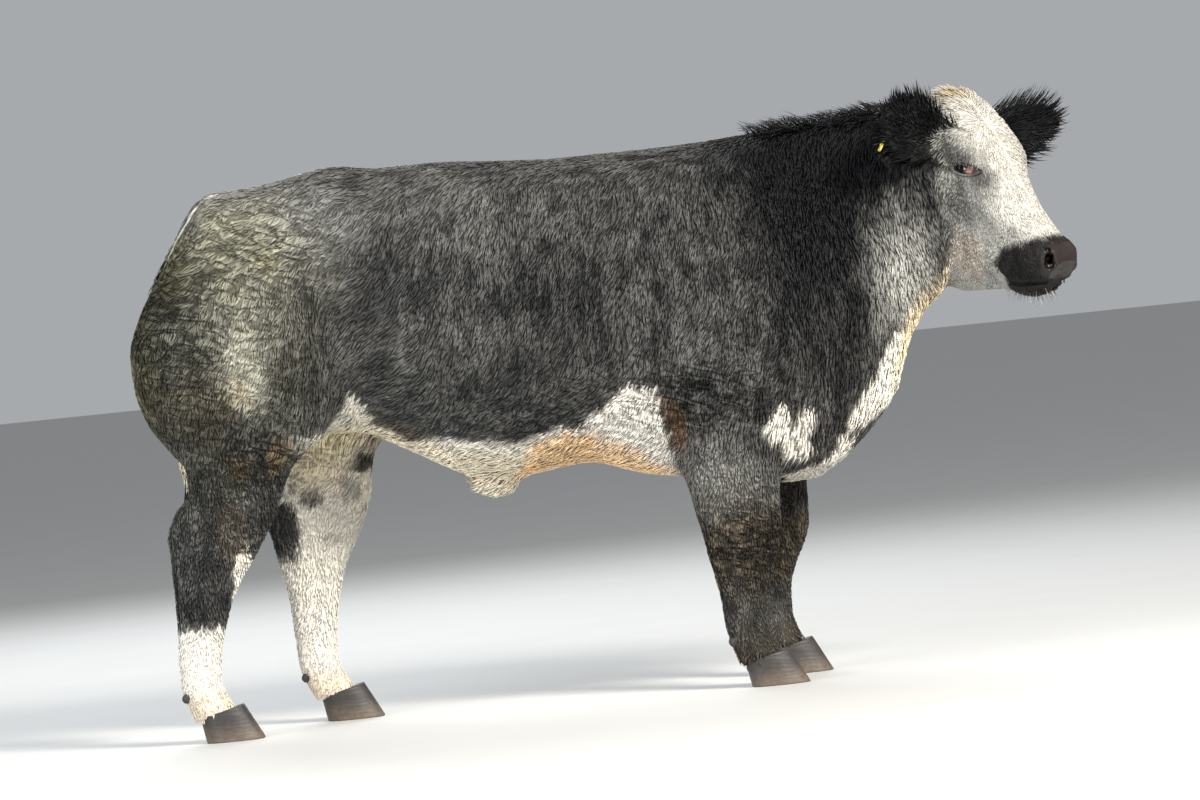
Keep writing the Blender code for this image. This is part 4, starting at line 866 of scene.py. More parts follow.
def coat_colour(p, chance):
    """Colour of the hair at outline points.  Chance, from 0 to 1, decides how light each hair or lock is."""
    x, y, z = p.T
    on_head = head_share_of(p)
    rag = 0.34 * cloudy(p, 9.0, 3) + 0.3 * noise(p, (34.0, 34.0, 18.0), 7) + 0.46 * (chance - 0.5)
    white, light = body_marks(p, rag)
    legs = smooth(0.82, 0.74, z)
    white = np.maximum(white, legs * leg_marks(p, rag))
    face_rag = 0.7 * cloudy(p, 18.0, 41) + 0.45 * noise(p, 60.0, 43) + 0.8 * (chance - 0.5)
    face_white, face_light, muzzle = head_marks(p, face_rag)
    white = white * (1 - on_head) + face_white * on_head
    light = light * (1 - on_head) + face_light * on_head
    ears = ear_share_of(p)
    light = light * (1 - ears) - 0.02 * ears
    share = smooth(-0.1, 1.05, light + 0.33 * (chance - 0.5))
    colour = BLACK + (SILVER - BLACK) * share[:, None] ** 1.35
    white = (white * (1 - ears))[:, None]
    colour = colour * (1 - white) + WHITE * (0.98 + 0.1 * chance - 0.41 * on_head)[:, None] * white
    body_only = 1 - on_head
    above = underside(p)
    belly = smooth(0.1, 0.03, above) * smooth(0.3, 0.05, x) * smooth(-0.46, -0.3, x)
    inner = smooth(0.13, 0.07, np.abs(y)) * smooth(0.5, 0.62, z) * smooth(0.84, 0.74, z)
    colour = stained(colour, CREAM, np.maximum(0.4 * belly, 0.55 * inner * (x < -0.3)) * body_only)
    throat = smooth(0.9, 0.95, x) * smooth(0.1, 0.02, above)
    colour = stained(colour, CREAM, 0.7 * throat * body_only)
    streak = 0.8 + 0.5 * cloudy(p, 30.0, 55) + 0.5 * (chance - 0.5)
    for outline, most in TAN_OUTLINES:
        spread = smooth(0.014, -0.016, past_outline(p, outline) + 0.02 * rag)
        colour = stained(colour, TAN, most * spread * streak * body_only)
    for middle, reach, turn, most in TAN_PATCHES:
        spread = smooth(1.5, 0.5, reach_of(p, middle, reach, turn) + 0.6 * cloudy(p, 14.0, 51))
        colour = stained(colour, FAWN, most * spread * streak * body_only)
    for middle, reach, turn, most in OLIVE_PATCHES:
        spread = smooth(1.5, 0.4, reach_of(p, middle, reach, turn) + 0.5 * cloudy(p, 9.0, 53))
        colour = stained(colour, OLIVE, most * spread * body_only)
    s, t, b = to_head(*p.T)
    jowl = smooth(1.3, 0.3, np.hypot((s - 0.332) / 0.062, (b + 0.25) / 0.052) + 0.5 * cloudy(p, 20.0, 57))
    colour = stained(colour, TAN, 0.22 * jowl * on_head * (t < 0.1))
    poll = np.exp(-((s - 0.04) / 0.024) ** 2 - ((t + 0.02) / 0.04) ** 2) * on_head
    colour = stained(colour, CREAM, 0.95 * poll)
    colour = colour * (1 - 0.45 * poll[:, None])
    colour = stained(colour, MUD, mud_on(p) * body_only * (0.5 + 0.5 * chance))
    dark = (muzzle * on_head * (0.93 + 0.06 * chance))[:, None]
    return colour * (1 - dark) + HORN_BLACK * dark


def stained(colour, stain, share):
    """Tints colours towards a stain, keeping most of their own lightness."""
    own = colour.mean(axis=1, keepdims=True)
    tinted = stain * (0.25 + 0.75 * own / max(stain.mean(), 1e-3))
    return colour + (tinted - colour) * np.clip(share, 0, 1)[:, None]


HEAD_CUT = np.array((1.026, -0.06, 1.13))
HEAD_CUT_WAY = np.array((0.925, -0.365, -0.105)) / np.linalg.norm((0.925, -0.365, -0.105))
MUZZLE_START = 0.462      # along the face, where the finest grid begins
CORONET = 0.07
CORONET_WAY = (0.22, 0.975)      # square to the edge, forwards and down


def to_outline(points):
    return np.asarray(points, float) / SIZE + ORIGIN


def foot_front(x, left):
    """X of the front of each foot's coronet, for front feet where x is over 0 and hind feet elsewhere."""
    fronts = []
    for kind, rows in (("fore", FORE), ("hind", HIND)):
        front = [row[3] for row in rows if row[0] == 0.06][0]
        fronts.append(front + stance(kind, np.full(np.shape(left), 0.05), left))
    return np.where(x > 0, *fronts)


def below_edge(x, z, front):
    """How far places lie below the sloping edge where hair gives way to horn, on a foot with this front."""
    return CORONET_WAY[0] * (x - front + 0.05) - CORONET_WAY[1] * (z - CORONET)


def below_coronet(p):
    x, y, z = p.T
    return below_edge(x, z, foot_front(x, y > 0))


def skin_field(p):
    return np.maximum(own_field(p), below_coronet(p) - 0.004)


def outside_head(p):
    """How far points lie outside the head and ears, which get the finer grid."""
    out = -(p - HEAD_CUT) @ HEAD_CUT_WAY
    for left in (False, True):
        root, way = EAR_FRAMES[left][:2]
        along = np.clip((p - root) @ way, 0.02, EAR_LONG)
        out = np.minimum(out, np.linalg.norm(p - root - along[:, None] * way, axis=1) - 0.088)
    return out


def outside_muzzle(p):
    return MUZZLE_START - to_head(*p.T)[0]


def skin_part(name, past, low, high, step, sunk=None):
    """One part of the skin, closed a little past the line where the parts meet and sinking gently there."""
    def field(p):
        beyond = past(p)
        out = np.maximum(skin_field(p) + 0.05 * np.maximum(beyond, 0.0), beyond - 0.016)
        return out + (0.015 * smooth(0.0, 0.012, -sunk(p)) if sunk else 0.0)

    points, quads = levelled(field, low, high, step)
    return new_mesh(name, to_metres(points), quads)


def united(made, other):
    """Joins a second closed mesh to the first and removes it."""
    joint = made.modifiers.new("join", "BOOLEAN")
    joint.object = other
    joint.operation = "UNION"
    joint.solver = "MANIFOLD"
    with bpy.context.temp_override(object=made, active_object=made, selected_objects=[made]):
        bpy.ops.object.modifier_apply(modifier=joint.name)
    bpy.data.objects.remove(other)


def whole_skin():
    """Body, head and muzzle, each on a finer grid than the last, joined into one closed skin."""
    made = skin_part("hide", lambda p: -outside_head(p), (-0.99, -0.42, -0.01), (1.14, 0.42, 1.44), 0.0146)
    low, high = (0.8, -0.46, 0.76), (1.48, 0.28, 1.49)
    united(made, skin_part("hide head", outside_head, low, high, 0.0048, outside_muzzle))
    united(made, skin_part("hide muzzle", outside_muzzle, (1.12, -0.4, 0.84), (1.42, -0.12, 1.09), 0.0025))
    made.data.shade_smooth()
    return made


# How the coat lies: middle, reach, and the way hair points along X, outwards and Z.
LIE = (
    ((-0.45, 0.03, 1.34), (0.45, 0.09, 0.07), (-1.0, 0.45, -0.12)),
    ((0.1, 0.03, 1.31), (0.35, 0.09, 0.07), (-1.0, 0.45, -0.15)),
    ((-0.6, 0.2, 1.2), (0.2, 0.2, 0.12), (-0.85, 0.2, -0.6)),
    ((-0.88, 0.15, 1.0), (0.1, 0.25, 0.25), (-0.35, 0.05, -1.0)),
    ((-0.68, 0.3, 0.92), (0.16, 0.2, 0.2), (-0.5, 0.0, -0.9)),
    ((-0.48, 0.25, 0.82), (0.09, 0.2, 0.18), (0.1, 0.0, -1.0)),
    ((-0.3, 0.25, 1.02), (0.12, 0.2, 0.16), (-0.8, 0.0, -0.6)),
    ((-0.3, 0.25, 0.8), (0.1, 0.2, 0.1), (-1.0, 0.0, -0.3)),
    ((0.0, 0.3, 1.02), (0.25, 0.2, 0.2), (-0.35, 0.0, -1.0)),
    ((0.05, 0.2, 0.68), (0.3, 0.2, 0.12), (-0.75, -0.4, -0.4)),
    ((0.05, 0.0, 0.58), (0.35, 0.2, 0.08), (-1.0, -0.1, -0.1)),
    ((0.45, 0.25, 1.0), (0.2, 0.2, 0.25), (-0.2, 0.0, -1.0)),
    ((0.8, 0.15, 1.1), (0.15, 0.2, 0.18), (0.05, 0.0, -1.0)),
    ((0.95, 0.12, 0.98), (0.1, 0.2, 0.15), (0.3, 0.0, -1.0)),
    ((0.8, 0.1, 0.62), (0.2, 0.2, 0.15), (-0.25, 0.0, -1.0)),
    ((0.45, 0.17, 0.35), (0.3, 0.2, 0.3), (-0.12, 0.0, -1.0)),
    ((-0.8, 0.17, 0.35), (0.3, 0.3, 0.25), (-0.12, 0.0, -1.0)),
)
HAIR_WHORL = 0.15      # along the face, where the hair parts
WAVE_LONG = 0.027      # from one wave of the coat to the next
# Where the coat curls into waves: middle, reach, swing in radians.
CURLS = (
    ((-0.76, 0.2, 1.0), (0.24, 0.4, 0.3), 0.7),
    ((-0.52, 0.2, 1.2), (0.14, 0.4, 0.12), 0.5),
    ((-0.6, 0.2, 0.68), (0.1, 0.4, 0.08), 0.6),
    ((0.52, 0.2, 0.36), (0.14, 0.4, 0.12), 0.85),
    ((-0.7, 0.2, 0.5), (0.08, 0.4, 0.1), 0.6),
    ((0.46, 0.3, 0.74), (0.14, 0.4, 0.08), 0.6),
    ((0.1, 0.2, 0.72), (0.36, 0.4, 0.1), 0.4),
    ((0.72, 0.2, 1.2), (0.16, 0.4, 0.12), 0.5),
)


def waves(p):
    """The coat's waves at outline points: how far round one each is, and how strongly hair swings there."""
    along = (0.85 * p[:, 2] - 0.45 * p[:, 0]) / WAVE_LONG
    phase = 2 * np.pi * (along + 2.6 * cloudy(p, (15.0, 9.0, 13.0), 61, 2))
    swing = np.full(len(p), 0.16)
    for middle, reach, most in CURLS:
        swing = swing + most * np.exp(-reach_of(p, middle, reach) ** 2)
    return phase, swing


def lie_of(p, out):
    """Unit ways that the coat lies at outline points: the table's, weighted by bells, and the head's own."""
    side = np.where(p[:, 1] < 0, -1.0, 1.0)
    total = np.tile((-0.06, 0.0, -0.2), (len(p), 1))
    for middle, reach, way in LIE:
        share = np.exp(-0.8 * reach_of(p, middle, reach) ** 2)[:, None]
        total = total + share * np.array(way)
    total[:, 1] *= side
    s, t, b = to_head(*p.T)
    down = np.tanh((s - HAIR_WHORL) / 0.05)
    flank = smooth(0.03, 0.09, np.abs(t) + 0.5 * np.maximum(-0.06 - b, 0))
    low = smooth(-0.1, -0.3, b)
    along = down * (1 - 0.65 * flank) - 0.25 * low
    own = np.stack([along, 0.55 * np.sign(t) * (1 - flank) + 0.02, -0.85 * flank - 0.1], axis=1) @ HEAD_AXES
    on_head = head_share_of(p)[:, None]
    total = total * (1 - on_head) + own * on_head
    for left in (False, True):
        root, way, across, _ = EAR_FRAMES[left]
        d = p - root
        share = smooth(0.03, 0.0, ear(*p.T, left))[:, None] * smooth(0.0, 0.03, d @ way)[:, None]
        fan = way + 0.9 * ((d @ across) / EAR_BROAD)[:, None] * across
        total = total * (1 - share) + fan * share
    total = unit(total - out * (total * out).sum(axis=1, keepdims=True))
    phase, swing = waves(p)
    turn = 0.45 * swing * np.sin(phase) + 0.6 * cloudy(p, (10.0, 10.0, 7.0), 63, 2) + 0.3 * noise(p, 38.0, 65)
    turn = turn * (1 - 0.62 * on_head[:, 0]) + 0.55 * noise(p, 26.0, 67) * on_head[:, 0]
    across = np.cross(out, total)
    return np.cos(turn)[:, None] * total + np.sin(turn)[:, None] * across


def clump_of(p, way):
    """Smooth noise from -1 to 1, drawn out along the lie: hair gathers where it is high."""
    fall = way[:, 2] ** 2
    upright = 0.68 * noise(p, (66.0, 66.0, 22.0), 71) + 0.32 * noise(p, (150.0, 150.0, 50.0), 73)
    level = 0.68 * noise(p, (22.0, 66.0, 66.0), 71) + 0.32 * noise(p, (50.0, 150.0, 150.0), 73)
    return fall * upright + (1 - fall) * level


def strand_faces(rings):
    """Triangles of one tuft: three-cornered rings joined along it, a closed root and a pointed tip."""
    cells = [(3 * r + j, 3 * r + (j + 1) % 3) for r in range(rings - 1) for j in range(3)]
    sides = [(a, b, b + 3) for a, b in cells] + [(a, b + 3, a + 3) for a, b in cells]
    tip = [(3 * rings - 3 + j, 3 * rings - 3 + (j + 1) % 3, 3 * rings) for j in range(3)]
    return np.array(sides + tip + [(0, 2, 1)])


def strands(path, out, broad, thick, profile):
    """Points of every tuft along its own path: two corners at a ring's edges, one above its middle.

    The path holds one place for each ring and one for the tip; profile scales the breadth ring by ring.
    """
    across = unit(np.cross(out[:, None], np.gradient(path, axis=1)))[:, :-1]
    middle = path[:, :-1]
    half = (broad[:, None] / 2 * profile)[..., None]
    top = middle + np.broadcast_to(out[:, None], middle.shape) * (thick[:, None] * profile)[..., None]
    rings = np.stack([middle - across * half, middle + across * half, top], axis=2)
    return np.concatenate([rings.reshape(len(path), -1, 3), path[:, -1:]], axis=1)


def strand_mesh(name, points, colours, unwrap, shade_by_ring):
    """One piece of tufts, each with a patch of the unwrap, painted shade at its root, painted highlight at
    tip and ridge.
    """
    count, corners = points.shape[:2]
    rings = (corners - 1) // 3
    faces = (np.arange(count)[:, None, None] * corners + strand_faces(rings)).reshape(-1, 3)
    along = np.append(np.repeat(np.arange(rings) / rings, 3), 1.0)
    over = np.append(np.tile((0.0, 1.0, 0.5), rings), 0.5)
    place = unwrap[:, None] + (np.stack([over, along], axis=1) - 0.5) * 0.003
    # Painted shade and highlight: rings darken towards the root and lighten towards the tip, and the ridge
    # corner is lit above the edges.
    shade = np.append(np.repeat(shade_by_ring[:-1], 3), shade_by_ring[-1]) * np.where(over == 0.5, 1.06, 0.97)
    # Pale hair keeps most of its colour: much of the painted shade is lifted from it.
    pale = 0.72 * smooth(0.25, 0.6, colours[:, :1])
    shade = shade[None] * (1 - pale) + pale
    colour = np.clip(colours[:, None] * shade[:, :, None], 0.002, 0.92)
    own = np.repeat(unwrap.sum(axis=1)[:, None] * 37.0 % 1.0, corners, axis=1)
    hair = np.stack([np.tile(over, (count, 1)), np.tile(along, (count, 1)), own], axis=2).reshape(-1, 3)
    uv = place.reshape(-1, 2)[faces.ravel()]
    return new_mesh(name, points.reshape(-1, 3), faces, uv, coat=colour.reshape(-1, 3), hair=hair)


def region_of(p):
    """A whole number for the part of the coat that each outline point is in; odd ones are on the left."""
    x, y, z = p.T
    part = np.full(len(p), 3)
    part[x > 0.8] = 2
    part[x < 0.42] = 4
    part[x < 0.06] = 5
    part[x < -0.36] = 6
    part[(z < 0.6) & (x > 0.2) & (x < 0.72)] = 7
    part[(z < 0.68) & (x < -0.34)] = 8
    part[(x < -0.76) & (np.abs(y) < 0.034) & (z < 1.2)] = 9
    part[head_share_of(p) > 0.5] = 1
    part[ear_share_of(p) > 0.5] = 0
    return part * 2 + (y > 0)


REGION_NAMES = ("ear", "head", "neck", "shoulder", "ribs", "loin", "rump", "foreleg", "hind_leg", "tail")
LONG_REGIONS = (6, 9)      # tufts of three rings grow here, and of two elsewhere
PIECE_TRIANGLES = 195000   # a region with more of them becomes several pieces


def unwrapped(p, region):
    """Each point's place on its region's unwrap: the turn round the region's own axis, the way along it."""
    x, y, z = p.T
    part = region // 2
    left = y > 0
    s, t, b = to_head(x, y, z)
    round_trunk = np.arctan2(y, z - read(TRACKS["trunk"], x)[1])
    fore = np.arctan2(x - stance("fore", z, left) - 0.5, np.abs(y) - 0.165)
    hind = np.arctan2(x - stance("hind", z, left) + 0.8, np.abs(y) - 0.166)
    u = np.select(
        [part == 0, part == 1, part == 7, part == 8],
        [np.arctan2(b + 0.09, np.abs(t) - 0.16), np.arctan2(t, b + 0.15), fore, hind],
        round_trunk,
    )
    v = np.select([part == 0, part == 1, part >= 7], [np.abs(t), s, z], x)
    place = np.stack([u, v], axis=1)
    return 0.01 + 0.98 * (place - place.min(axis=0)) / np.maximum(np.ptp(place, axis=0), 1e-6)


# Sizes of tufts in metres on each kind of ground: length, breadth, lift of the tip, and spacing.
TUFTS = {
    "trunk": (0.033, 0.0047, 0.0036, 0.0064), "leg": (0.019, 0.004, 0.003, 0.0066),
    "foot": (0.012, 0.0032, 0.002, 0.006), "face": (0.012, 0.0028, 0.0014, 0.005),
    "forehead": (0.019, 0.0033, 0.0026, 0.0056), "ear": (0.024, 0.003, 0.003, 0.0056),
    "fringe": (0.05, 0.0052, 0.009, 0.007), "neck": (0.044, 0.005, 0.005, 0.0068),
    "tail": (0.026, 0.004, 0.007, 0.0064), "rump": (0.027, 0.0048, 0.003, 0.0066),
}


def hair_sizes(p):
    """Length, breadth, lift and spacing of the tufts at outline points, in metres."""
    x, y, z = p.T
    on_head = head_share_of(p)
    above = underside(p)
    sizes = np.tile(TUFTS["trunk"], (len(p), 1))
    low_edge = smooth(0.09, 0.03, above) * smooth(-0.6, -0.4, x)
    front = np.exp(-reach_of(p, (0.68, 0.1, 0.58), (0.16, 0.4, 0.12)) ** 2)
    for share, kind in (
        (smooth(0.6, 0.72, x), "neck"), (smooth(-0.3, -0.42, x), "rump"),
        (np.maximum(low_edge, front), "fringe"), (smooth(0.74, 0.62, z), "leg"),
        (smooth(0.3, 0.16, z), "foot"), (np.exp(-((y / 0.045) ** 2)) * smooth(-0.7, -0.76, x), "tail"),
        (on_head, "forehead"),
        (on_head * smooth(0.12, 0.22, to_head(x, y, z)[0]), "face"), (ear_share_of(p), "ear"),
    ):
        if kind == "leg":
            share = share * np.maximum(leg_share_of(p), smooth(0.56, 0.5, z))
        sizes = sizes + share[:, None] * (np.array(TUFTS[kind]) - sizes)
    return sizes.T


def hair_bare(p):
    """1 where no tuft grows: the nose pad, the lids, inside the nostrils and mouth, and below the coronet."""
    s, t, b = to_head(*p.T)
    mouth = smooth(0.418, 0.428, s) * smooth(0.01, 0.006, np.abs(b - mouth_level(s)))
    hole = smooth(0.012, 0.008, nostril_reach(s, np.abs(t), b))
    bare = np.maximum(bare_nose(p), np.maximum(mouth, hole) * head_share_of(p))
    for left in (False, True):
        u, v, w = eye_place(p, left).T
        bare = np.maximum(bare, smooth(1.62, 1.45, np.hypot(u / LID_LONG, v / LID_TALL)) * (w > -0.02))
    return np.maximum(bare, smooth(-0.01, -0.004, below_coronet(p)))


def skin_grid(skin):
    """Corners, corner normals and areas of the skin's triangles, and their middles as outline points."""
    triangles = triples(skin.data.loop_triangles, "vertices", np.int32)
    normals = triples(skin.data.vertices, "normal").astype(float)[triangles]
    corners = points_of(skin)[triangles]
    area = np.linalg.norm(np.cross(corners[:, 1] - corners[:, 0], corners[:, 2] - corners[:, 0]), axis=1) / 2
    return corners, normals, area, to_outline(corners.mean(axis=1))


def scattered(grid, wanted, rng):
    """Roots on the skin, as many in each triangle as wanted: places, outward ways, outline places."""
    corners, normals = grid[:2]
    number = np.floor(wanted + rng.random(len(wanted))).astype(int)
    index = np.repeat(np.arange(len(wanted)), number)
    share = rng.dirichlet((1.0, 1.0, 1.0), len(index))[..., None]
    root = (corners[index] * share).sum(axis=1)
    return root, unit((normals[index] * share).sum(axis=1)), to_outline(root)


def combed(root, out, long, lift, rings):
    """Paths that leave each root along the lie of the coat, follow the skin, and lift a little to the tip."""
    steps = {2: (0.0, 0.5, 1.0), 3: (0.0, 0.34, 0.68, 1.0)}[rings]
    rise = {2: (-0.2, 0.85, 0.75), 3: (-0.2, 0.55, 0.95, 0.8)}[rings]
    place = to_outline(root)
    path = [root + out * (rise[0] * lift)[:, None]]
    for k in range(rings):
        way = lie_of(place, out)
        if k == 0:
            first = way
        place = place + way * (long * (steps[k + 1] - steps[k]) / SIZE)[:, None]
        place = place - out * np.clip(own_field(place, False), -0.01, 0.01)[:, None]
        path.append(to_metres(place) + out * (rise[k + 1] * lift)[:, None])
    path = np.stack(path, axis=1)
    across = np.cross(out, first)
    start = to_outline(root)
    pull = clump_of(start + across * 0.004, first) - clump_of(start - across * 0.004, first)
    pull = np.clip(pull * 0.01, -0.0045, 0.0045)
    shift = np.linspace(0.0, 1.0, rings + 1) ** 1.5
    return path + across[:, None] * (pull[:, None] * shift)[..., None], first


def body_coat(skin, look):
    """Every short tuft of the coat, in one mesh for each region and side."""
    rng = np.random.default_rng(look.seed)
    *grid, middle = skin_grid(skin)
    space = hair_sizes(middle)[3]
    root, out, place = scattered(grid, grid[2] / space**2 * (1 - hair_bare(middle)), rng)
    long, broad, lift, _ = hair_sizes(place)
    count = len(root)
    long = long * rng.uniform(0.75, 1.25, count) * look.length
    broad = broad * rng.uniform(0.7, 1.3, count) * look.thickness
    lift = lift * rng.uniform(0.4, 1.25, count)
    drawn = rng.random(count)
    region = region_of(place)
    made = []
    for number in np.unique(region):
        pick = np.nonzero(region == number)[0]
        rings = 3 if number // 2 in LONG_REGIONS else 2
        path, way = combed(root[pick], out[pick], long[pick], lift[pick], rings)
        profile = np.array((0.8, 1.0) if rings == 2 else (0.62, 1.0, 0.74))
        points = strands(path, out[pick], broad[pick], broad[pick] * 0.24, profile)
        phase, swing = waves(place[pick])
        # Tufts between clumps and in the waves' troughs get a darker share: painted shade of the gaps, and
        # partly the roan's own mottle; drawn is tone that differs at random.
        clump_shading = smooth(-0.62, 0.3, clump_of(place[pick], way))
        wave_shading = smooth(-1.0, 0.1, np.sin(phase + 1.1))
        curl = np.clip(swing, 0, 1)
        chance = 0.2 + 0.3 * drawn[pick] + 0.44 * clump_shading * (1 - 0.5 * curl * (1 - wave_shading))
        colours = coat_colour(place[pick], np.clip(1.2 * chance - 0.1, 0, 1))
        # Painted shade towards each tuft's root and painted highlight towards its tip, ring by ring.
        root_to_tip_shade = np.array((0.58, 0.84, 1.1) if rings == 2 else (0.56, 0.78, 1.0, 1.1))
        name = "coat_%s_%s" % (REGION_NAMES[number // 2], side_of(number % 2))
        unwrap = unwrapped(place[pick], region[pick])
        parts = int(np.ceil(len(pick) * (6 * rings - 2) / PIECE_TRIANGLES))
        order = np.argsort(unwrap[:, 1])
        for k, chosen in enumerate(np.array_split(order, parts)):
            own = name + ("_%d" % (k + 1) if parts > 1 else "")
            piece = strand_mesh(own, points[chosen], colours[chosen], unwrap[chosen], root_to_tip_shade)
            paint(piece, curl=np.repeat(curl[chosen], points.shape[1]))
            made.append(piece)
    return made


# Long locks: rings, the breadth at each, painted shade and highlight from root to tip, and metres between
# their roots.
LOCK_RINGS = 5
LOCK_PROFILE = np.array((0.7, 1.0, 0.95, 0.75, 0.45))
LOCK_SHADE = np.array((0.45, 0.7, 0.95, 1.1, 1.2, 1.3))
LOCK_SPACING = {"crest": 0.007, "ear": 0.0066, "whiskers": 0.012, "poll": 0.008}
SWITCH_LOCKS = 460
LASHES = 64
DEWCLAW_HEIGHT = 0.118
TAG_HANG = 0.0165      # how far a tag's middle lies below the point where it hangs


def swept(root, first, then, long, sway, seed):
    """Paths of long locks: each bends from its first way to its last, swaying with its neighbours."""
    place = root.copy()
    path = [root - first * 0.003]
    for k in range(LOCK_RINGS):
        t = k / (LOCK_RINGS - 1)
        way = first * (1 - t) ** 1.3 + then * t**0.8
        spot = to_outline(place)
        drift = np.stack([noise(spot + 0.35 * k, 24.0, seed + j) for j in range(3)], axis=1)
        way = unit(unit(way) + sway * drift)
        place = place + way * (long / LOCK_RINGS)[:, None]
        path.append(place)
    return np.stack(path, axis=1)


def lock_piece(name, root, out, path, broad, colours, region=None, unwrap=None):
    """One piece of long locks from their paths, unwrapped as its region is or as given."""
    points = strands(path, out, broad, broad * 0.4, LOCK_PROFILE)
    if unwrap is None:
        unwrap = unwrapped(to_outline(root), np.full(len(root), region))
    return strand_mesh(name, points, colours, unwrap, LOCK_SHADE)


def mane(skin, rng):
    """Black upstanding locks along the crest of the neck, falling to its sides lower down."""
    *grid, middle = skin_grid(skin)
    _, _, top, centre, _ = read(TRACKS["neck"], middle[:, 0])
    zone = smooth(0.1, 0.03, np.abs(middle[:, 1] - centre)) * smooth(0.075, 0.02, top - middle[:, 2])
    zone = zone * smooth(0.59, 0.7, middle[:, 0]) * smooth(1.05, 1.0, middle[:, 0])
    zone = zone * (1 - ear_share_of(middle)) * (1 - head_share_of(middle))
    root, out, place = scattered(grid, grid[2] / LOCK_SPACING["crest"] ** 2 * zone, rng)
    count = len(root)
    loose = 0.5 + 0.5 * noise(place, 22.0, 81)
    long = 0.036 + 0.03 * loose * rng.uniform(0.6, 1.2, count)
    way = lie_of(place, out)
    first = out + 0.35 * way + rng.normal(0, 0.12, (count, 3))
    then = 0.25 * out + 0.7 * way + np.array((-0.35, 0.0, 0.05)) + rng.normal(0, 0.2, (count, 3))
    path = swept(root, first, then, long, 0.5, 83)
    colours = coat_colour(place, 0.35 * rng.random(count))
    return lock_piece("hair_crest", root, out, path, rng.uniform(0.0022, 0.0046, count), colours, 4)


def ear_hair(skin, left, rng):
    """Long black hair that fans out past an ear's edges and tip and fills its cup."""
    *grid, middle = skin_grid(skin)
    root_place, way, across, _ = EAR_FRAMES[left]
    d = middle - root_place
    zone = smooth(0.01, 0.004, ear(*middle.T, left)) * smooth(0.02, 0.06, d @ way)
    half = np.interp((d @ way) / EAR_LONG, *zip(*((row[0], row[1] * EAR_BROAD) for row in EAR_SECTIONS)))
    edge = np.abs(d @ across) / half
    zone = zone * (0.35 + 0.65 * smooth(0.45, 0.85, np.maximum(edge, 1.15 * (d @ way) / EAR_LONG)))
    root, out, place = scattered(grid, grid[2] / LOCK_SPACING["ear"] ** 2 * zone, rng)
    count = len(root)
    d = place - root_place
    along = np.clip((d @ way) / EAR_LONG, 0, 1)
    side = np.clip((d @ across) / EAR_BROAD, -1, 1)[:, None]
    first = 0.75 * way + 0.7 * side * across + 0.3 * out + rng.normal(0, 0.06, (count, 3))
    then = 0.9 * way + (0.75 * side + 0.35) * across + 0.1 * out + rng.normal(0, 0.07, (count, 3))
    long = (0.044 + 0.022 * np.abs(side[:, 0])) * rng.uniform(0.6, 1.25, count) * (1 - 0.25 * along)
    path = swept(root, first, then, long, 0.34, 91)
    colours = np.tile(BLACK, (count, 1)) * rng.uniform(0.3, 1.2, (count, 1))
    name = "hair_ear_" + side_of(left)
    return lock_piece(name, root, out, path, rng.uniform(0.0018, 0.0042, count), colours, int(left))


def switch_hair(rng):
    """The long hair of the tail's end, hanging in loose waves from the last of the tail's skin."""
    count = SWITCH_LOCKS
    z = rng.uniform(0.485, 0.64, count)
    turn = rng.uniform(0, 2 * np.pi, count)
    wide = read(TRACKS["tail"], z)[1]
    out = np.stack([np.cos(turn), np.sin(turn), np.zeros(count)], axis=1)
    place = np.stack([wide + 0.01 * np.cos(turn), 0.01 * np.sin(turn), z], axis=1)
    root = to_metres(place)
    first = out * 0.2 + np.array((0.0, 0.0, -1.0))
    then = out * 0.05 + np.array((0.02, 0.0, -1.0))
    long = (z - rng.uniform(0.262, 0.4, count)) * SIZE
    path = swept(root, first, then, long, 0.11, 95)
    colours = np.tile(BLACK * 1.6, (count, 1)) * rng.uniform(0.6, 2.6, (count, 1))
    unwrap = np.stack([0.01 + 0.98 * turn / (2 * np.pi), 0.01 + 0.98 * (z - 0.485) / 0.155], axis=1)
    return lock_piece("hair_switch", root, out, path, rng.uniform(0.005, 0.01, count), colours, unwrap=unwrap)


def face_hair(skin, rng):
    """Fine pale whiskers on the lower lip and chin, and a tousled cap of hair on the poll."""
    *grid, middle = skin_grid(skin)
    s, t, b = to_head(*middle.T)
    on_head = head_share_of(middle) * (1 - ear_share_of(middle))
    chin = smooth(0.43, 0.455, s) * smooth(-0.012, -0.02, b - mouth_level(s)) * on_head
    root, out, place = scattered(grid, grid[2] / LOCK_SPACING["whiskers"] ** 2 * chin, rng)
    count = len(root)
    down = np.array((0.15, -0.05, -1.0))
    first = out + rng.normal(0, 0.15, (count, 3))
    path = swept(root, first, out * 0.8 + down * 0.6, rng.uniform(0.014, 0.034, count), 0.1, 97)
    pale = np.tile((0.4, 0.38, 0.35), (count, 1)) * rng.uniform(0.05, 1.5, (count, 1)) ** 2
    whiskers = lock_piece("hair_whiskers", root, out, path, np.full(count, 0.0011), pale, 2)
    poll = np.exp(-((s - 0.03) / 0.04) ** 2 - (t / 0.06) ** 2) * smooth(-0.075, -0.045, b) * on_head
    wanted = grid[2] / LOCK_SPACING["poll"] ** 2 * smooth(0.25, 0.6, poll)
    root, out, place = scattered(grid, wanted, rng)
    count = len(root)
    way = lie_of(place, out)
    path = swept(root, out * 0.7 + way, way + out * 0.1, rng.uniform(0.016, 0.028, count), 0.5, 99)
    colours = coat_colour(place, rng.random(count))
    return whiskers, lock_piece("hair_poll", root, out, path, rng.uniform(0.0026, 0.0046, count), colours, 2)


def grid_faces(rows, columns, ring=False):
    """Quads of a grid of rows by columns, joined round when it is a ring."""
    i = np.arange(rows - 1)[:, None]
    j = np.arange(columns if ring else columns - 1)[None]
    k = (j + 1) % columns
    a, b = i * columns + j, i * columns + k
    c, d = (i + 1) * columns + k, (i + 1) * columns + j
    return np.stack([a, b, c, d], axis=-1).reshape(-1, 4)


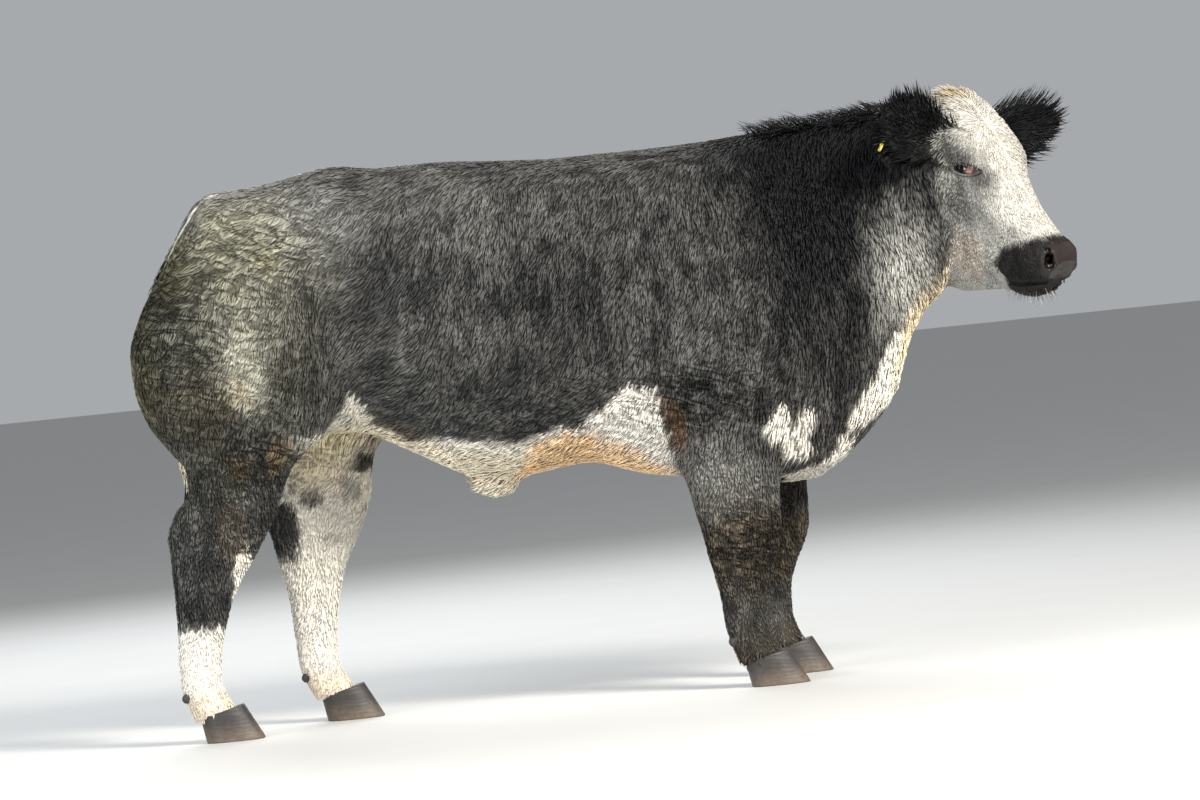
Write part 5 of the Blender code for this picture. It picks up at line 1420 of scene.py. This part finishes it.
def closed_loft(name, rings):
    """A closed form from rings of points, its ends drawn in to their middles.

    Each ring's points run round the axis, and the first and last rings are repeated at their own middles, so
    that every face is a quad or a thin triangle.
    """
    rings = np.asarray(rings, float)
    middle = rings.mean(axis=1, keepdims=True)
    first = np.repeat(middle[:1], rings.shape[1], axis=1)
    last = np.repeat(middle[-1:], rings.shape[1], axis=1)
    rings = np.concatenate([first, rings, last])
    rows, columns = rings.shape[:2]
    return welded(new_mesh(name, rings.reshape(-1, 3), grid_faces(rows, columns, True)))


def claw_rings(z, front, y, way, around=56):
    """Levels of a claw: a rounded toe, a full outer wall, a flat wall beside the cleft and a low heel."""
    z = np.asarray(z, float)[:, None]
    angle = np.linspace(0, 2 * np.pi, around, endpoint=False)[None]
    c, s = np.cos(angle), np.sin(angle)
    toe = front + 0.05 - 0.52 * z
    heel = front - 0.092 - 0.16 * z
    ripple = 0.00022 * np.sin(z * 430.0 + 1.5 * c + 1.2 * np.sin(z * 150.0)) * smooth(0.0, 0.02, z)
    wide = 0.05 - 0.06 * z + ripple
    along = (toe + heel) / 2 + ((toe - heel) / 2 + ripple) * np.sign(c) * np.abs(c) ** 0.85
    share = (1 + c) / 2
    outer = wide * (0.98 - 0.34 * share**3)
    inner = 0.0022 + 0.008 * share**4
    across = inner + np.where(s > 0, outer * np.abs(s) ** 0.8, 0.001 * s)
    return np.stack([along, y + way * across, z + 0 * c], axis=-1)


def feet():
    """The four feet: front or hind, -1 on the right and 1 on the left."""
    return [(kind, side) for kind in ("fore", "hind") for side in (-1, 1)]


def claws():
    """Eight claws, each a profile carried up to the coronet and rounded over where the hair covers it."""
    made = []
    levels = np.concatenate([np.linspace(0.0, 0.004, 3), np.linspace(0.01, 0.092, 19)])
    for kind, side in feet():
        middle = (FORE if kind == "fore" else HIND)[-1][4]
        front = float(foot_front(np.array(1.0 if kind == "fore" else -1.0), np.array(side > 0)))
        for part, way in (("inner", -side), ("outer", side)):
            rings = claw_rings(levels, front, side * middle, way)
            below = below_edge(rings[..., 0], rings[..., 2], front)
            rings[..., 2] -= np.maximum(-0.004 - below, 0.0) / CORONET_WAY[1]
            centre = rings.mean(axis=1, keepdims=True)
            pinch = np.where(np.arange(len(levels)) == 0, 0.965, 1.0)[:, None, None]
            rings = centre + (rings - centre) * pinch
            name = "%s_claw_%s_%s" % (kind, part, side_of(side > 0))
            made.append((closed_loft("horn_" + name, to_metres(rings)), name))
    return made


def dewclaws():
    """Eight small horn cones behind the fetlocks, blunt and turned down."""
    made = []
    angle = np.linspace(0, 2 * np.pi, 24, endpoint=False)[None]
    t = np.linspace(0.0, 1.0, 9)[:, None]
    along = -0.016 + 0.036 * t
    radius = np.interp(t, (0.0, 0.5, 0.8, 0.94, 1.0), (0.012, 0.0125, 0.011, 0.0088, 0.005))
    z = DEWCLAW_HEIGHT - along * 0.6 + radius * 0.8 * np.cos(angle)
    for kind, side in feet():
        shift = float(stance(kind, np.array(DEWCLAW_HEIGHT), np.array(side > 0)))
        back, _, _, middle, _ = read(TRACKS[kind], DEWCLAW_HEIGHT)
        x = back + shift + 0.019 - along * 0.8 - radius * 0.6 * np.cos(angle)
        for part, way in (("inner", -1), ("outer", 1)):
            y = side * (middle + way * 0.021) + radius * np.sin(angle)
            name = "%s_dewclaw_%s_%s" % (kind, part, side_of(side > 0))
            made.append((closed_loft("horn_" + name, to_metres(np.stack([x, y, z], axis=-1))), name))
    return made


def eyeball(left):
    """A ball of rings round the eye's own outward axis, with each point's place across the iris."""
    polar = np.linspace(0.0, np.pi, 49)[1:-1, None]
    round_ = np.linspace(0, 2 * np.pi, 72, endpoint=False)[None]
    bulge = 1.0 + 0.055 * np.exp(-((polar / 0.5) ** 4))
    radius = (EYE_RADIUS - 0.0004) * bulge
    u = radius * np.sin(polar) * np.cos(round_)
    v = radius * np.sin(polar) * np.sin(round_)
    rings = from_eye(u, v, radius * np.cos(polar) + 0 * round_, left)
    name = "eyeball_" + side_of(left)
    made = closed_loft(name, to_metres(rings))
    place = eye_place(to_outline(points_of(made)), left) / EYE_RADIUS
    paint(made, eye_u=place[:, 0], eye_v=place[:, 1])
    return made


def almond(angle, reach=1.0):
    """The lids' edge in the eye's own frame, or a line round it: a long almond, taller above than below."""
    v = np.sin(angle)
    tall = np.where(v > 0, LID_TALL, LID_LOW) * reach
    return LID_LONG * reach**0.7 * np.cos(angle), tall * v * np.abs(v) ** (0.3 / reach)


def skin_height(u, v, left):
    """How far out of the head its own surface lies over places of the eye's slit, found by halving."""
    low, high = np.full(u.shape, -0.01), np.full(u.shape, 0.045)
    for _ in range(18):
        w = (low + high) / 2
        outside = own_field(from_eye(u, v, w, left).reshape(-1, 3), False).reshape(u.shape) > 0
        high, low = np.where(outside, w, high), np.where(outside, low, w)
    return low


# Across the lids, from their edge outwards: reach, share of the head's own surface, upper and lower height.
LID_PROFILE = (
    (0.985, 0.0, -0.002, -0.002), (0.99, 0.0, 0.0006, 0.0006), (1.03, 0.02, 0.0019, 0.0018),
    (1.1, 0.06, 0.0027, 0.0024), (1.18, 0.14, 0.003, 0.0025), (1.27, 0.26, 0.002, 0.0019),
    (1.34, 0.42, 0.0004, 0.0013), (1.42, 0.58, 0.0016, 0.0014), (1.52, 0.76, 0.0032, 0.0008),
    (1.64, 0.9, 0.003, 0.0012), (1.78, 1.0, 0.0012, 0.0004), (1.92, 1.0, -0.0014, -0.0014),
    (1.92, 1.0, -0.004, -0.004), (1.5, 0.6, -0.004, -0.004), (1.1, 0.1, -0.0034, -0.0034),
)


def lids(left):
    """Both lids as one ring: a moist edge on the eyeball, a heavy upper fold and a wrinkled lower lid."""
    angle = np.linspace(0, 2 * np.pi, 144, endpoint=False)[None]
    reach, share, above, below = (np.array(column)[:, None] for column in zip(*LID_PROFILE))
    u, v = almond(angle, reach)
    ball = np.sqrt(np.maximum((EYE_RADIUS * 1.03) ** 2 - u**2 - v**2, (0.35 * EYE_RADIUS) ** 2))
    own = skin_height(u, v, left)
    upper = smooth(-0.25, 0.35, np.sin(angle))
    relief = above * upper + below * (1 - upper)
    corner = np.abs(np.cos(angle)) ** 8
    pleat = 0.0007 * np.sin(angle * 34.0) * smooth(1.05, 1.3, reach) * smooth(1.9, 1.6, reach) * (1 - upper)
    w = ball * (1 - share) + np.maximum(own, ball * (1 - share)) * share + relief * (1 - 0.5 * corner) + pleat
    rings = from_eye(u, v, w, left)
    rings = np.concatenate([rings, rings[:1]])
    faces = grid_faces(len(rings), rings.shape[1], True)
    made = welded(new_mesh("lids_" + side_of(left), to_metres(rings).reshape(-1, 3), faces))
    place = to_outline(points_of(made))
    u, v, w = eye_place(place, left).T
    out = np.hypot(u / LID_LONG, v / np.where(v > 0, LID_TALL, LID_LOW))
    nose_corner = smooth(0.75, 1.05, u / LID_LONG) * smooth(0.4, 0.1, np.abs(v) / LID_TALL)
    bare = smooth(2.05, 1.45, out + 0.12 * noise(place, 120.0, 85))
    colour = coat_colour(place, 0.5 + 0.35 * noise(place, 150.0, 87)) * 0.4
    edge = np.array((0.004, 0.0032, 0.003)) + nose_corner[:, None] * np.array((0.05, 0.02, 0.015))
    paint(made, coat=colour * (1 - bare[:, None]) + edge * bare[:, None], bare=bare * 0.35)
    return made


def lashes(left, rng):
    """Dark lashes along the upper lid, curving out and down."""
    count = LASHES
    angle = rng.uniform(0.1, 0.92, count) * np.pi
    u, v = almond(angle, 1.04)
    w = np.sqrt(np.maximum((EYE_RADIUS * 1.05) ** 2 - u**2 - v**2, 1e-6)) + 0.0016
    root = to_metres(from_eye(u, v, w, left))
    origin = from_eye(np.zeros(1), np.zeros(1), np.zeros(1), left)
    ways = [to_metres(from_eye(*(np.array([1.0 * (i == j)]) for j in range(3)), left)) - to_metres(origin)
            for i in range(3)]
    along, up, out = (unit(way) for way in ways)
    first = out * 0.9 + up * 0.15 + along * rng.normal(0, 0.18, (count, 1))
    then = out * 0.5 - up * 0.35 + along * rng.normal(0, 0.25, (count, 1))
    path = swept(root, first, then, rng.uniform(0.008, 0.013, count), 0.05, 101)
    colours = np.tile(BLACK * 1.2, (count, 1))
    unwrap = np.stack([angle / np.pi, np.full(count, 0.5)], axis=1)
    name, ups = "lashes_" + side_of(left), np.tile(up, (count, 1))
    return lock_piece(name, root, ups, path, np.full(count, 0.0009), colours, unwrap=unwrap)


def ear_tag(left):
    """A plain plastic plate with rounded corners and a narrower top, hanging edge-on from the ear."""
    middle, ways = tag_frame(left)
    angle = np.linspace(0, 2 * np.pi, 64, endpoint=False)
    c, s = np.cos(angle), np.sin(angle)
    u = 0.0208 * np.sign(c) * np.abs(c) ** 0.45
    v = -TAG_HANG + 0.0203 * np.sign(s) * np.abs(s) ** 0.45
    u = u * np.interp(v, (-0.04, -0.01, 0.004), (1.0, 0.94, 0.55))
    depth = np.array((-0.0015, -0.0015, -0.0011, 0.0011, 0.0015, 0.0015))
    pull = np.array((0.94, 0.975, 1.0, 1.0, 0.975, 0.94))
    rings = [middle + np.stack([u * k, (v + TAG_HANG) * k - TAG_HANG, np.full(64, d)], axis=1) @ ways
             for d, k in zip(depth, pull)]
    return closed_loft("plate_" + side_of(left), to_metres(np.array(rings)))


def fed(tree, value, slot):
    """Sets an input to a constant, or links it to the output that feeds it."""
    if isinstance(value, bpy.types.NodeSocket):
        tree.links.new(value, slot)
    else:
        slot.default_value = value


def node(tree, kind, inputs=None, **settings):
    """One shader node: its settings first, then each input as a constant or an output of another node."""
    made = tree.nodes.new("ShaderNode" + kind)
    for key, value in settings.items():
        setattr(made, key, value)
    for key, value in (inputs or {}).items():
        fed(tree, value, made.inputs[key])
    return made


def maths(tree, operation, *values):
    return node(tree, "Math", dict(enumerate(values)), operation=operation).outputs[0]


def named_values(tree, *names):
    """Outputs of one attribute node for each name."""
    return [node(tree, "Attribute", attribute_name=name).outputs for name in names]


def stretched(tree, place, by):
    return node(tree, "VectorMath", {0: place, 1: by}, operation="MULTIPLY").outputs[0]


def object_place(tree):
    return node(tree, "TexCoord").outputs["Object"]


def noise_at(tree, place, scale, **more):
    return node(tree, "TexNoise", {"Vector": place, "Scale": scale, **more}).outputs[0]


def new_group(name, result, **inputs):
    """An empty group from a colour and named inputs to a colour and one value; None makes a vector input."""
    tree = bpy.data.node_groups.new(name, "ShaderNodeTree")
    inputs = {"Color": (0.5, 0.5, 0.5, 1.0), **inputs}
    for key, value in inputs.items():
        kind = "Float" if isinstance(value, float) else "Color" if value else "Vector"
        made = tree.interface.new_socket(name=key, in_out="INPUT", socket_type="NodeSocket" + kind)
        if value:
            made.default_value = value
    for key, kind in (("Color", "Color"), (result, "Float")):
        tree.interface.new_socket(name=key, in_out="OUTPUT", socket_type="NodeSocket" + kind)
    return tree, tree.nodes.new("NodeGroupInput").outputs


def finish_group(tree, entry, gain, value):
    """Puts out the group's colour times a gain, and its one value."""
    scaled = node(tree, "VectorMath", {0: entry["Color"], "Scale": gain}, operation="SCALE")
    leave = tree.nodes.new("NodeGroupOutput")
    tree.links.new(scaled.outputs[0], leave.inputs[0])
    tree.links.new(value, leave.inputs[1])


def gain_from(tree, grain, amount):
    """1, and as much more or less as noise is off its middle, twice the amount times."""
    shift = maths(tree, "MULTIPLY", maths(tree, "SUBTRACT", grain, 0.5), amount)
    return maths(tree, "MULTIPLY_ADD", shift, 2.0, 1.0)


def mottle_group():
    """Uneven tone: noise at one scale lightens and darkens a colour by up to Amount."""
    tree, entry = new_group("Mottle", "Value", Scale=60.0, Amount=0.2)
    grain = noise_at(tree, object_place(tree), entry["Scale"], Detail=4.0)
    finish_group(tree, entry, gain_from(tree, grain, entry["Amount"]), grain)


def strands_group():
    """Fine hairs along a tuft, from its own place across it, along it and among its neighbours."""
    tree, entry = new_group("Hairs", "Height", Place=None, Amount=0.5)
    spread = stretched(tree, entry["Place"], (9.0, 1.6, 91.0))
    grain = noise_at(tree, spread, 1.0, Detail=2.0)
    finish_group(tree, entry, gain_from(tree, grain, entry["Amount"]), grain)


def crimp_with_shade_group():
    """Crimped coat: thin broken lines across the lie of the hair, as deep as Curl says: painted shade of the
    waves' troughs, also given out as a height.
    """
    tree, entry = new_group("Crimp with shade", "Height", Curl=0.5)
    settings = {"Vector": object_place(tree), "Angle": -0.3}
    turned = node(tree, "VectorRotate", settings, rotation_type="Y_AXIS").outputs[0]
    grain = noise_at(tree, stretched(tree, turned, (18.0, 18.0, 52.0)), 1.0, Detail=1.4, Distortion=0.5)
    away = maths(tree, "ABSOLUTE", maths(tree, "SUBTRACT", grain, 0.5))
    ridge = maths(tree, "MINIMUM", maths(tree, "MULTIPLY", away, 8.0), 1.0)
    depth = maths(tree, "MULTIPLY", maths(tree, "SUBTRACT", ridge, 0.92), entry["Curl"])
    # Painted shade: the colour is darkened along the crimped lines, down to a tenth at the most.
    gain = maths(tree, "MAXIMUM", maths(tree, "MULTIPLY_ADD", depth, 1.2, 1.04), 0.1)
    finish_group(tree, entry, gain, gain)


def from_group(tree, name, **inputs):
    """Outputs of a shared group; the groups are built when the first one is asked for."""
    if "Mottle" not in bpy.data.node_groups:
        for build in (mottle_group, strands_group, crimp_with_shade_group):
            build()
    return node(tree, "Group", inputs, node_tree=bpy.data.node_groups[name]).outputs


def material(name, colour, roughness, **constants):
    """A material, its nodes, and its shader's inputs with constants set on them."""
    made = bpy.data.materials.new(name)
    made.use_nodes = True
    slots = made.node_tree.nodes["Principled BSDF"].inputs
    slots["Base Color"].default_value = (*colour, 1.0)
    slots["Roughness"].default_value = roughness
    for key, value in constants.items():
        slots[key.replace("_", " ")].default_value = value
    return made, made.node_tree, slots


def relieve(tree, slots, height, distance):
    """Bumps a material's surface by a height, as deep as the distance in metres."""
    bump = node(tree, "Bump", {"Height": height, "Distance": distance, "Strength": 1.0})
    tree.links.new(bump.outputs[0], slots["Normal"])


def ramp(tree, value, *stops):
    """A colour ramp through two or more stops, each a place and a colour."""
    made = node(tree, "ValToRGB", {0: value})
    elements = made.color_ramp.elements
    for k, (position, colour) in enumerate(stops):
        stop = elements[k] if k < 2 else elements.new(position)
        stop.position = position
        stop.color = (*colour, 1)
    return made.outputs[0]


def hair_material():
    """Coat tufts: the marking's colour, drawn into fine hairs along each tuft and darkened by painted shade
    along crimped lines, with a soft gloss.
    """
    made, tree, slots = material("Coat hair", (0.2, 0.2, 0.2), 0.5, Specular_IOR_Level=0.12)
    coat, own, curl = named_values(tree, "coat", "hair", "curl")
    hairs = from_group(tree, "Hairs", Color=coat["Color"], Place=own["Vector"], Amount=0.6)
    crimp_with_shade = from_group(tree, "Crimp with shade", Color=hairs["Color"], Curl=curl["Fac"])
    fed(tree, crimp_with_shade["Color"], slots["Base Color"])
    relieve(tree, slots, maths(tree, "MULTIPLY_ADD", crimp_with_shade["Height"], 8.0, hairs["Height"]), 0.0004)
    return made


def hide_material():
    """Skin: covered in fine short hair where it is coated, pebbled and moist where it is bare."""
    made, tree, slots = material("Hide", (0.1, 0.1, 0.1), 0.62, Specular_IOR_Level=0.15, Coat_Roughness=0.07)
    coat, bare = named_values(tree, "coat", "bare")
    mottle = from_group(tree, "Mottle", Color=coat["Color"], Scale=520.0, Amount=0.55)
    fed(tree, mottle["Color"], slots["Base Color"])
    settings = {"Vector": object_place(tree), "Scale": 330.0}
    pebble = node(tree, "TexVoronoi", settings, feature="DISTANCE_TO_EDGE").outputs["Distance"]
    height = maths(tree, "MULTIPLY", maths(tree, "MINIMUM", pebble, 0.22), bare["Fac"])
    height = maths(tree, "ADD", height, maths(tree, "MULTIPLY", mottle["Value"], 0.35))
    relieve(tree, slots, height, 0.002)
    fed(tree, maths(tree, "MULTIPLY_ADD", bare["Fac"], -0.24, 0.64), slots["Roughness"])
    fed(tree, maths(tree, "MULTIPLY", bare["Fac"], 0.4), slots["Coat Weight"])
    return made


def horn_material():
    """Claw horn: dark growth rings across a dry mottled surface, dusty towards the ground."""
    made, tree, slots = material("Claw horn", (0.05, 0.045, 0.04), 0.55)
    place = object_place(tree)
    tall = maths(tree, "MULTIPLY", node(tree, "SeparateXYZ", {0: place}).outputs["Z"], 12.0)
    tone = ramp(tree, tall, (0.0, (0.12, 0.09, 0.065)), (0.55, (0.03, 0.026, 0.024)))
    mottle = from_group(tree, "Mottle", Color=tone, Scale=90.0, Amount=0.55)
    fed(tree, mottle["Color"], slots["Base Color"])
    settings = {"Vector": place, "Scale": 34.0, "Distortion": 7.0, "Detail": 4.0}
    relieve(tree, slots, node(tree, "TexWave", settings, bands_direction="Z").outputs["Fac"], 0.00014)
    return made


def eye_material():
    """Eye: a long dark pupil in a dark brown iris, a pink fold in its inner corner, under a wet surface."""
    made, tree, slots = material("Eye", (0.02, 0.012, 0.008), 0.14, Coat_Weight=1.0, Coat_Roughness=0.02)
    u, v = (outputs["Fac"] for outputs in named_values(tree, "eye_u", "eye_v"))
    tall = maths(tree, "MULTIPLY", v, 1.55)
    square = maths(tree, "MULTIPLY_ADD", u, u, maths(tree, "MULTIPLY", tall, tall))
    tone = ramp(
        tree, maths(tree, "SQRT", square),
        (0.36, (0.002, 0.002, 0.003)), (0.46, (0.026, 0.012, 0.007)),
        (0.84, (0.012, 0.007, 0.005)), (0.98, (0.1, 0.06, 0.05)),
    )
    fold = maths(tree, "MULTIPLY_ADD", noise_at(tree, object_place(tree), 240.0), 0.25, u)
    fold = maths(tree, "MULTIPLY_ADD", fold, 5.0, -2.1)
    fold = maths(tree, "MINIMUM", maths(tree, "MAXIMUM", fold, 0.0), 1.0)
    mixed = node(tree, "Mix", {0: fold, 6: tone, 7: (0.52, 0.2, 0.16, 1)}, data_type="RGBA")
    fed(tree, mixed.outputs[2], slots["Base Color"])
    return made


def plain_material(name, colour, roughness, scale, amount, relief=0.0):
    """One faintly mottled colour, as of the tags' plastic and the floor, with a shallow relief or none."""
    made, tree, slots = material(name, colour, roughness)
    mottle = from_group(tree, "Mottle", Color=(*colour, 1), Scale=scale, Amount=amount)
    fed(tree, mottle["Color"], slots["Base Color"])
    if relief:
        relieve(tree, slots, mottle["Value"], relief)
    return made


def dressed(made, surface, *nodes, finish=None):
    """Gives a piece its material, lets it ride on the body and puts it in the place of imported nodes."""
    made.data.materials.clear()
    made.data.materials.append(surface)
    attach(made, "root")
    if nodes:
        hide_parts(*nodes)


class SteerCoat(PropertyGroup):
    length: FloatProperty(
        name="Tuft length", description="Length of the coat's tufts against their usual size", default=1.0,
        min=0.5, max=1.5, subtype="FACTOR",
    )
    thickness: FloatProperty(
        name="Tuft breadth", description="Breadth of the coat's tufts against their usual size", default=1.0,
        min=0.5, max=1.5, subtype="FACTOR",
    )
    seed: IntProperty(name="Seed", description="Which scatter of tufts the coat has", default=7, min=0)


class SteerFinish(PropertyGroup):
    tag: FloatVectorProperty(
        name="Ear tag", description="Colour of the ear tags' plastic", default=(0.8, 0.62, 0.05), size=3,
        min=0.0, max=1.0, subtype="COLOR",
    )
    floor: FloatVectorProperty(
        name="Floor", description="Colour of the plain floor", default=(0.52, 0.52, 0.51), size=3,
        min=0.0, max=1.0, subtype="COLOR",
    )


FLESH = (
    "head", "neck", "chest", "barrel", "rump", "ear_left", "ear_right", "tail", "tail_switch", "thigh_left",
    "thigh_right", "hind_shank_left", "hind_shank_right", "forearm_left", "forearm_right", "fore_shank_left",
    "fore_shank_right",
)


class STEER_OT_hide(Operator):
    """One closed skin over the whole animal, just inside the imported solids."""
    bl_idname = "steer.hide"
    bl_label = "Hide"

    def execute(self, context):
        made = whole_skin()
        made.name = "hide"
        place = to_outline(points_of(made))
        bare = bare_nose(place)
        s, t, b = to_head(*place.T)
        # Painted shade inside each nostril: the skin's colour darkens to a fifth in the cavity.
        inside = smooth(0.002, -0.004, nostril_reach(s, np.abs(t), b) - 0.004) * head_share_of(place)
        colour = coat_colour(place, 0.42 + 0.3 * noise(place, 110.0, 89))
        colour = colour * (0.5 + 0.48 * smooth(0.2, 0.6, colour[:, :1]))
        pad = np.array((0.015, 0.009, 0.007)) * (1 + 0.35 * cloudy(place, 60.0, 91))[:, None]
        colour = colour * (1 - bare[:, None]) + pad * bare[:, None]
        paint(made, coat=colour * (1 - 0.8 * inside[:, None]), bare=bare)
        dressed(made, hide_material(), *FLESH, finish="coat")
        return {"FINISHED"}


class STEER_OT_coat(Operator):
    """The tufts of the coat, in one piece for each region and side."""
    bl_idname = "steer.coat"
    bl_label = "Coat"

    def execute(self, context):
        look = context.scene.steer_coat
        surface = hair_material()
        for made in body_coat(bpy.data.objects["hide"], look):
            dressed(made, surface, finish="coat")
        return {"FINISHED"}


class STEER_OT_locks(Operator):
    """Long hair: the crest, the ears, the tail's switch, the poll, whiskers and lashes."""
    bl_idname = "steer.locks"
    bl_label = "Long locks"

    def execute(self, context):
        skin = bpy.data.objects["hide"]
        rng = np.random.default_rng(context.scene.steer_coat.seed + 1)
        surface = bpy.data.materials["Coat hair"]
        made = [mane(skin, rng), switch_hair(rng), *face_hair(skin, rng)]
        for left in (False, True):
            made += [ear_hair(skin, left, rng), lashes(left, rng)]
        for piece in made:
            dressed(piece, surface, finish="coat")
        return {"FINISHED"}


class STEER_OT_eyes(Operator):
    """Eyeballs and their lids."""
    bl_idname = "steer.eyes"
    bl_label = "Eyes"

    def execute(self, context):
        surface = eye_material()
        for left in (False, True):
            dressed(eyeball(left), surface, "eye_" + side_of(left), finish="eye")
            dressed(lids(left), bpy.data.materials["Hide"], finish="coat")
        return {"FINISHED"}


class STEER_OT_horn(Operator):
    """Claws and dewclaws."""
    bl_idname = "steer.horn"
    bl_label = "Claws"

    def execute(self, context):
        surface = horn_material()
        for made, node in claws() + dewclaws():
            dressed(made, surface, node, finish="horn")
        return {"FINISHED"}


class STEER_OT_tags(Operator):
    """A plain tag in each ear."""
    bl_idname = "steer.tags"
    bl_label = "Ear tags"

    def execute(self, context):
        colour = tuple(context.scene.steer_finish.tag)
        surface = plain_material("Tag plastic", colour, 0.42, 70.0, 0.25, 0.0006)
        for left in (False, True):
            dressed(ear_tag(left), surface, "tag_" + side_of(left), finish="tag")
        return {"FINISHED"}


# Area lights: place, size, power and colour.
LIGHTS = (
    ("key", (3.5, -4.4, 4.1), 1.6, 800.0, (1.0, 0.955, 0.88)),
    ("fill", (-4.5, -4.0, 2.6), 4.0, 290.0, (0.94, 0.97, 1.0)),
    ("back", (-1.5, 4.8, 4.4), 4.0, 300.0, (0.94, 0.97, 1.0)),
)
LIGHT_TARGET = (0.0, 0.0, 0.75)
FLOOR_HALF = 60.0      # metres
FLOOR_LINES = 41


def aimed(data, place, target, roll=0.0):
    """A light or camera as an object at its place, looking at a target and rolled by some degrees."""
    made = bpy.data.objects.new(data.name, data)
    turn = (Vector(target) - Vector(place)).to_track_quat("-Z", "Y").to_matrix().to_4x4()
    made.matrix_world = Matrix.Translation(place) @ turn @ Matrix.Rotation(math.radians(roll), 4, "Z")
    bpy.context.scene.collection.objects.link(made)
    return made


class STEER_OT_stage(Operator):
    """A plain pale floor, soft lights and the camera."""
    bl_idname = "steer.stage"
    bl_label = "Stage"

    def execute(self, context):
        x, y = np.meshgrid(*[np.linspace(-FLOOR_HALF, FLOOR_HALF, FLOOR_LINES)] * 2, indexing="ij")
        place = np.stack([x, y, 0 * x], axis=-1).reshape(-1, 3)
        floor = new_mesh("floor", place, grid_faces(FLOOR_LINES, FLOOR_LINES)[:, ::-1])
        colour = tuple(context.scene.steer_finish.floor)
        floor.data.materials.append(plain_material("Floor", colour, 0.75, 3.0, 0.04))
        world = bpy.data.worlds.new("Studio")
        context.scene.world = world
        world.use_nodes = True
        back = world.node_tree.nodes["Background"]
        back.inputs["Color"].default_value = (0.86, 0.89, 0.93, 1.0)
        back.inputs["Strength"].default_value = 0.45
        context.scene.view_settings.view_transform = "Standard"
        for name, place, size, power, colour in LIGHTS:
            light = bpy.data.lights.new(name, "AREA")
            light.size = size
            light.energy = power
            light.color = colour
            aimed(light, place, LIGHT_TARGET)
        camera = bpy.data.cameras.new("view")
        camera.sensor_width = 36.0
        camera.lens = 169.7
        camera.clip_end = 200.0
        context.scene.camera = aimed(camera, (-0.0509, -12.972, 0.931), (-0.0509, 0.0, 0.68), -5.9)
        return {"FINISHED"}


class STEER_PT_pieces(Panel):
    bl_idname = "STEER_PT_pieces"
    bl_label = "Steer"
    bl_space_type = "VIEW_3D"
    bl_region_type = "UI"
    bl_category = "Steer"

    def draw(self, context):
        for group in (context.scene.steer_coat, context.scene.steer_finish):
            for name in group.bl_rna.properties.keys():
                if name not in ("rna_type", "name"):
                    self.layout.prop(group, name)
        for operator in OPERATORS:
            self.layout.operator(operator.bl_idname)


OPERATORS = (
    STEER_OT_hide, STEER_OT_coat, STEER_OT_locks, STEER_OT_eyes, STEER_OT_horn, STEER_OT_tags, STEER_OT_stage,
)
CLASSES = (SteerCoat, SteerFinish, *OPERATORS, STEER_PT_pieces)


def register():
    for item in CLASSES:
        bpy.utils.register_class(item)
    bpy.types.Scene.steer_coat = PointerProperty(type=SteerCoat)
    bpy.types.Scene.steer_finish = PointerProperty(type=SteerFinish)


def unregister():
    del bpy.types.Scene.steer_finish
    del bpy.types.Scene.steer_coat
    for item in reversed(CLASSES):
        bpy.utils.unregister_class(item)


def main():
    register()
    bpy.ops.steer.hide()
    bpy.ops.steer.coat()
    bpy.ops.steer.locks()
    bpy.ops.steer.eyes()
    bpy.ops.steer.horn()
    bpy.ops.steer.tags()
    bpy.ops.steer.stage()


if __name__ == "__main__":
    main()
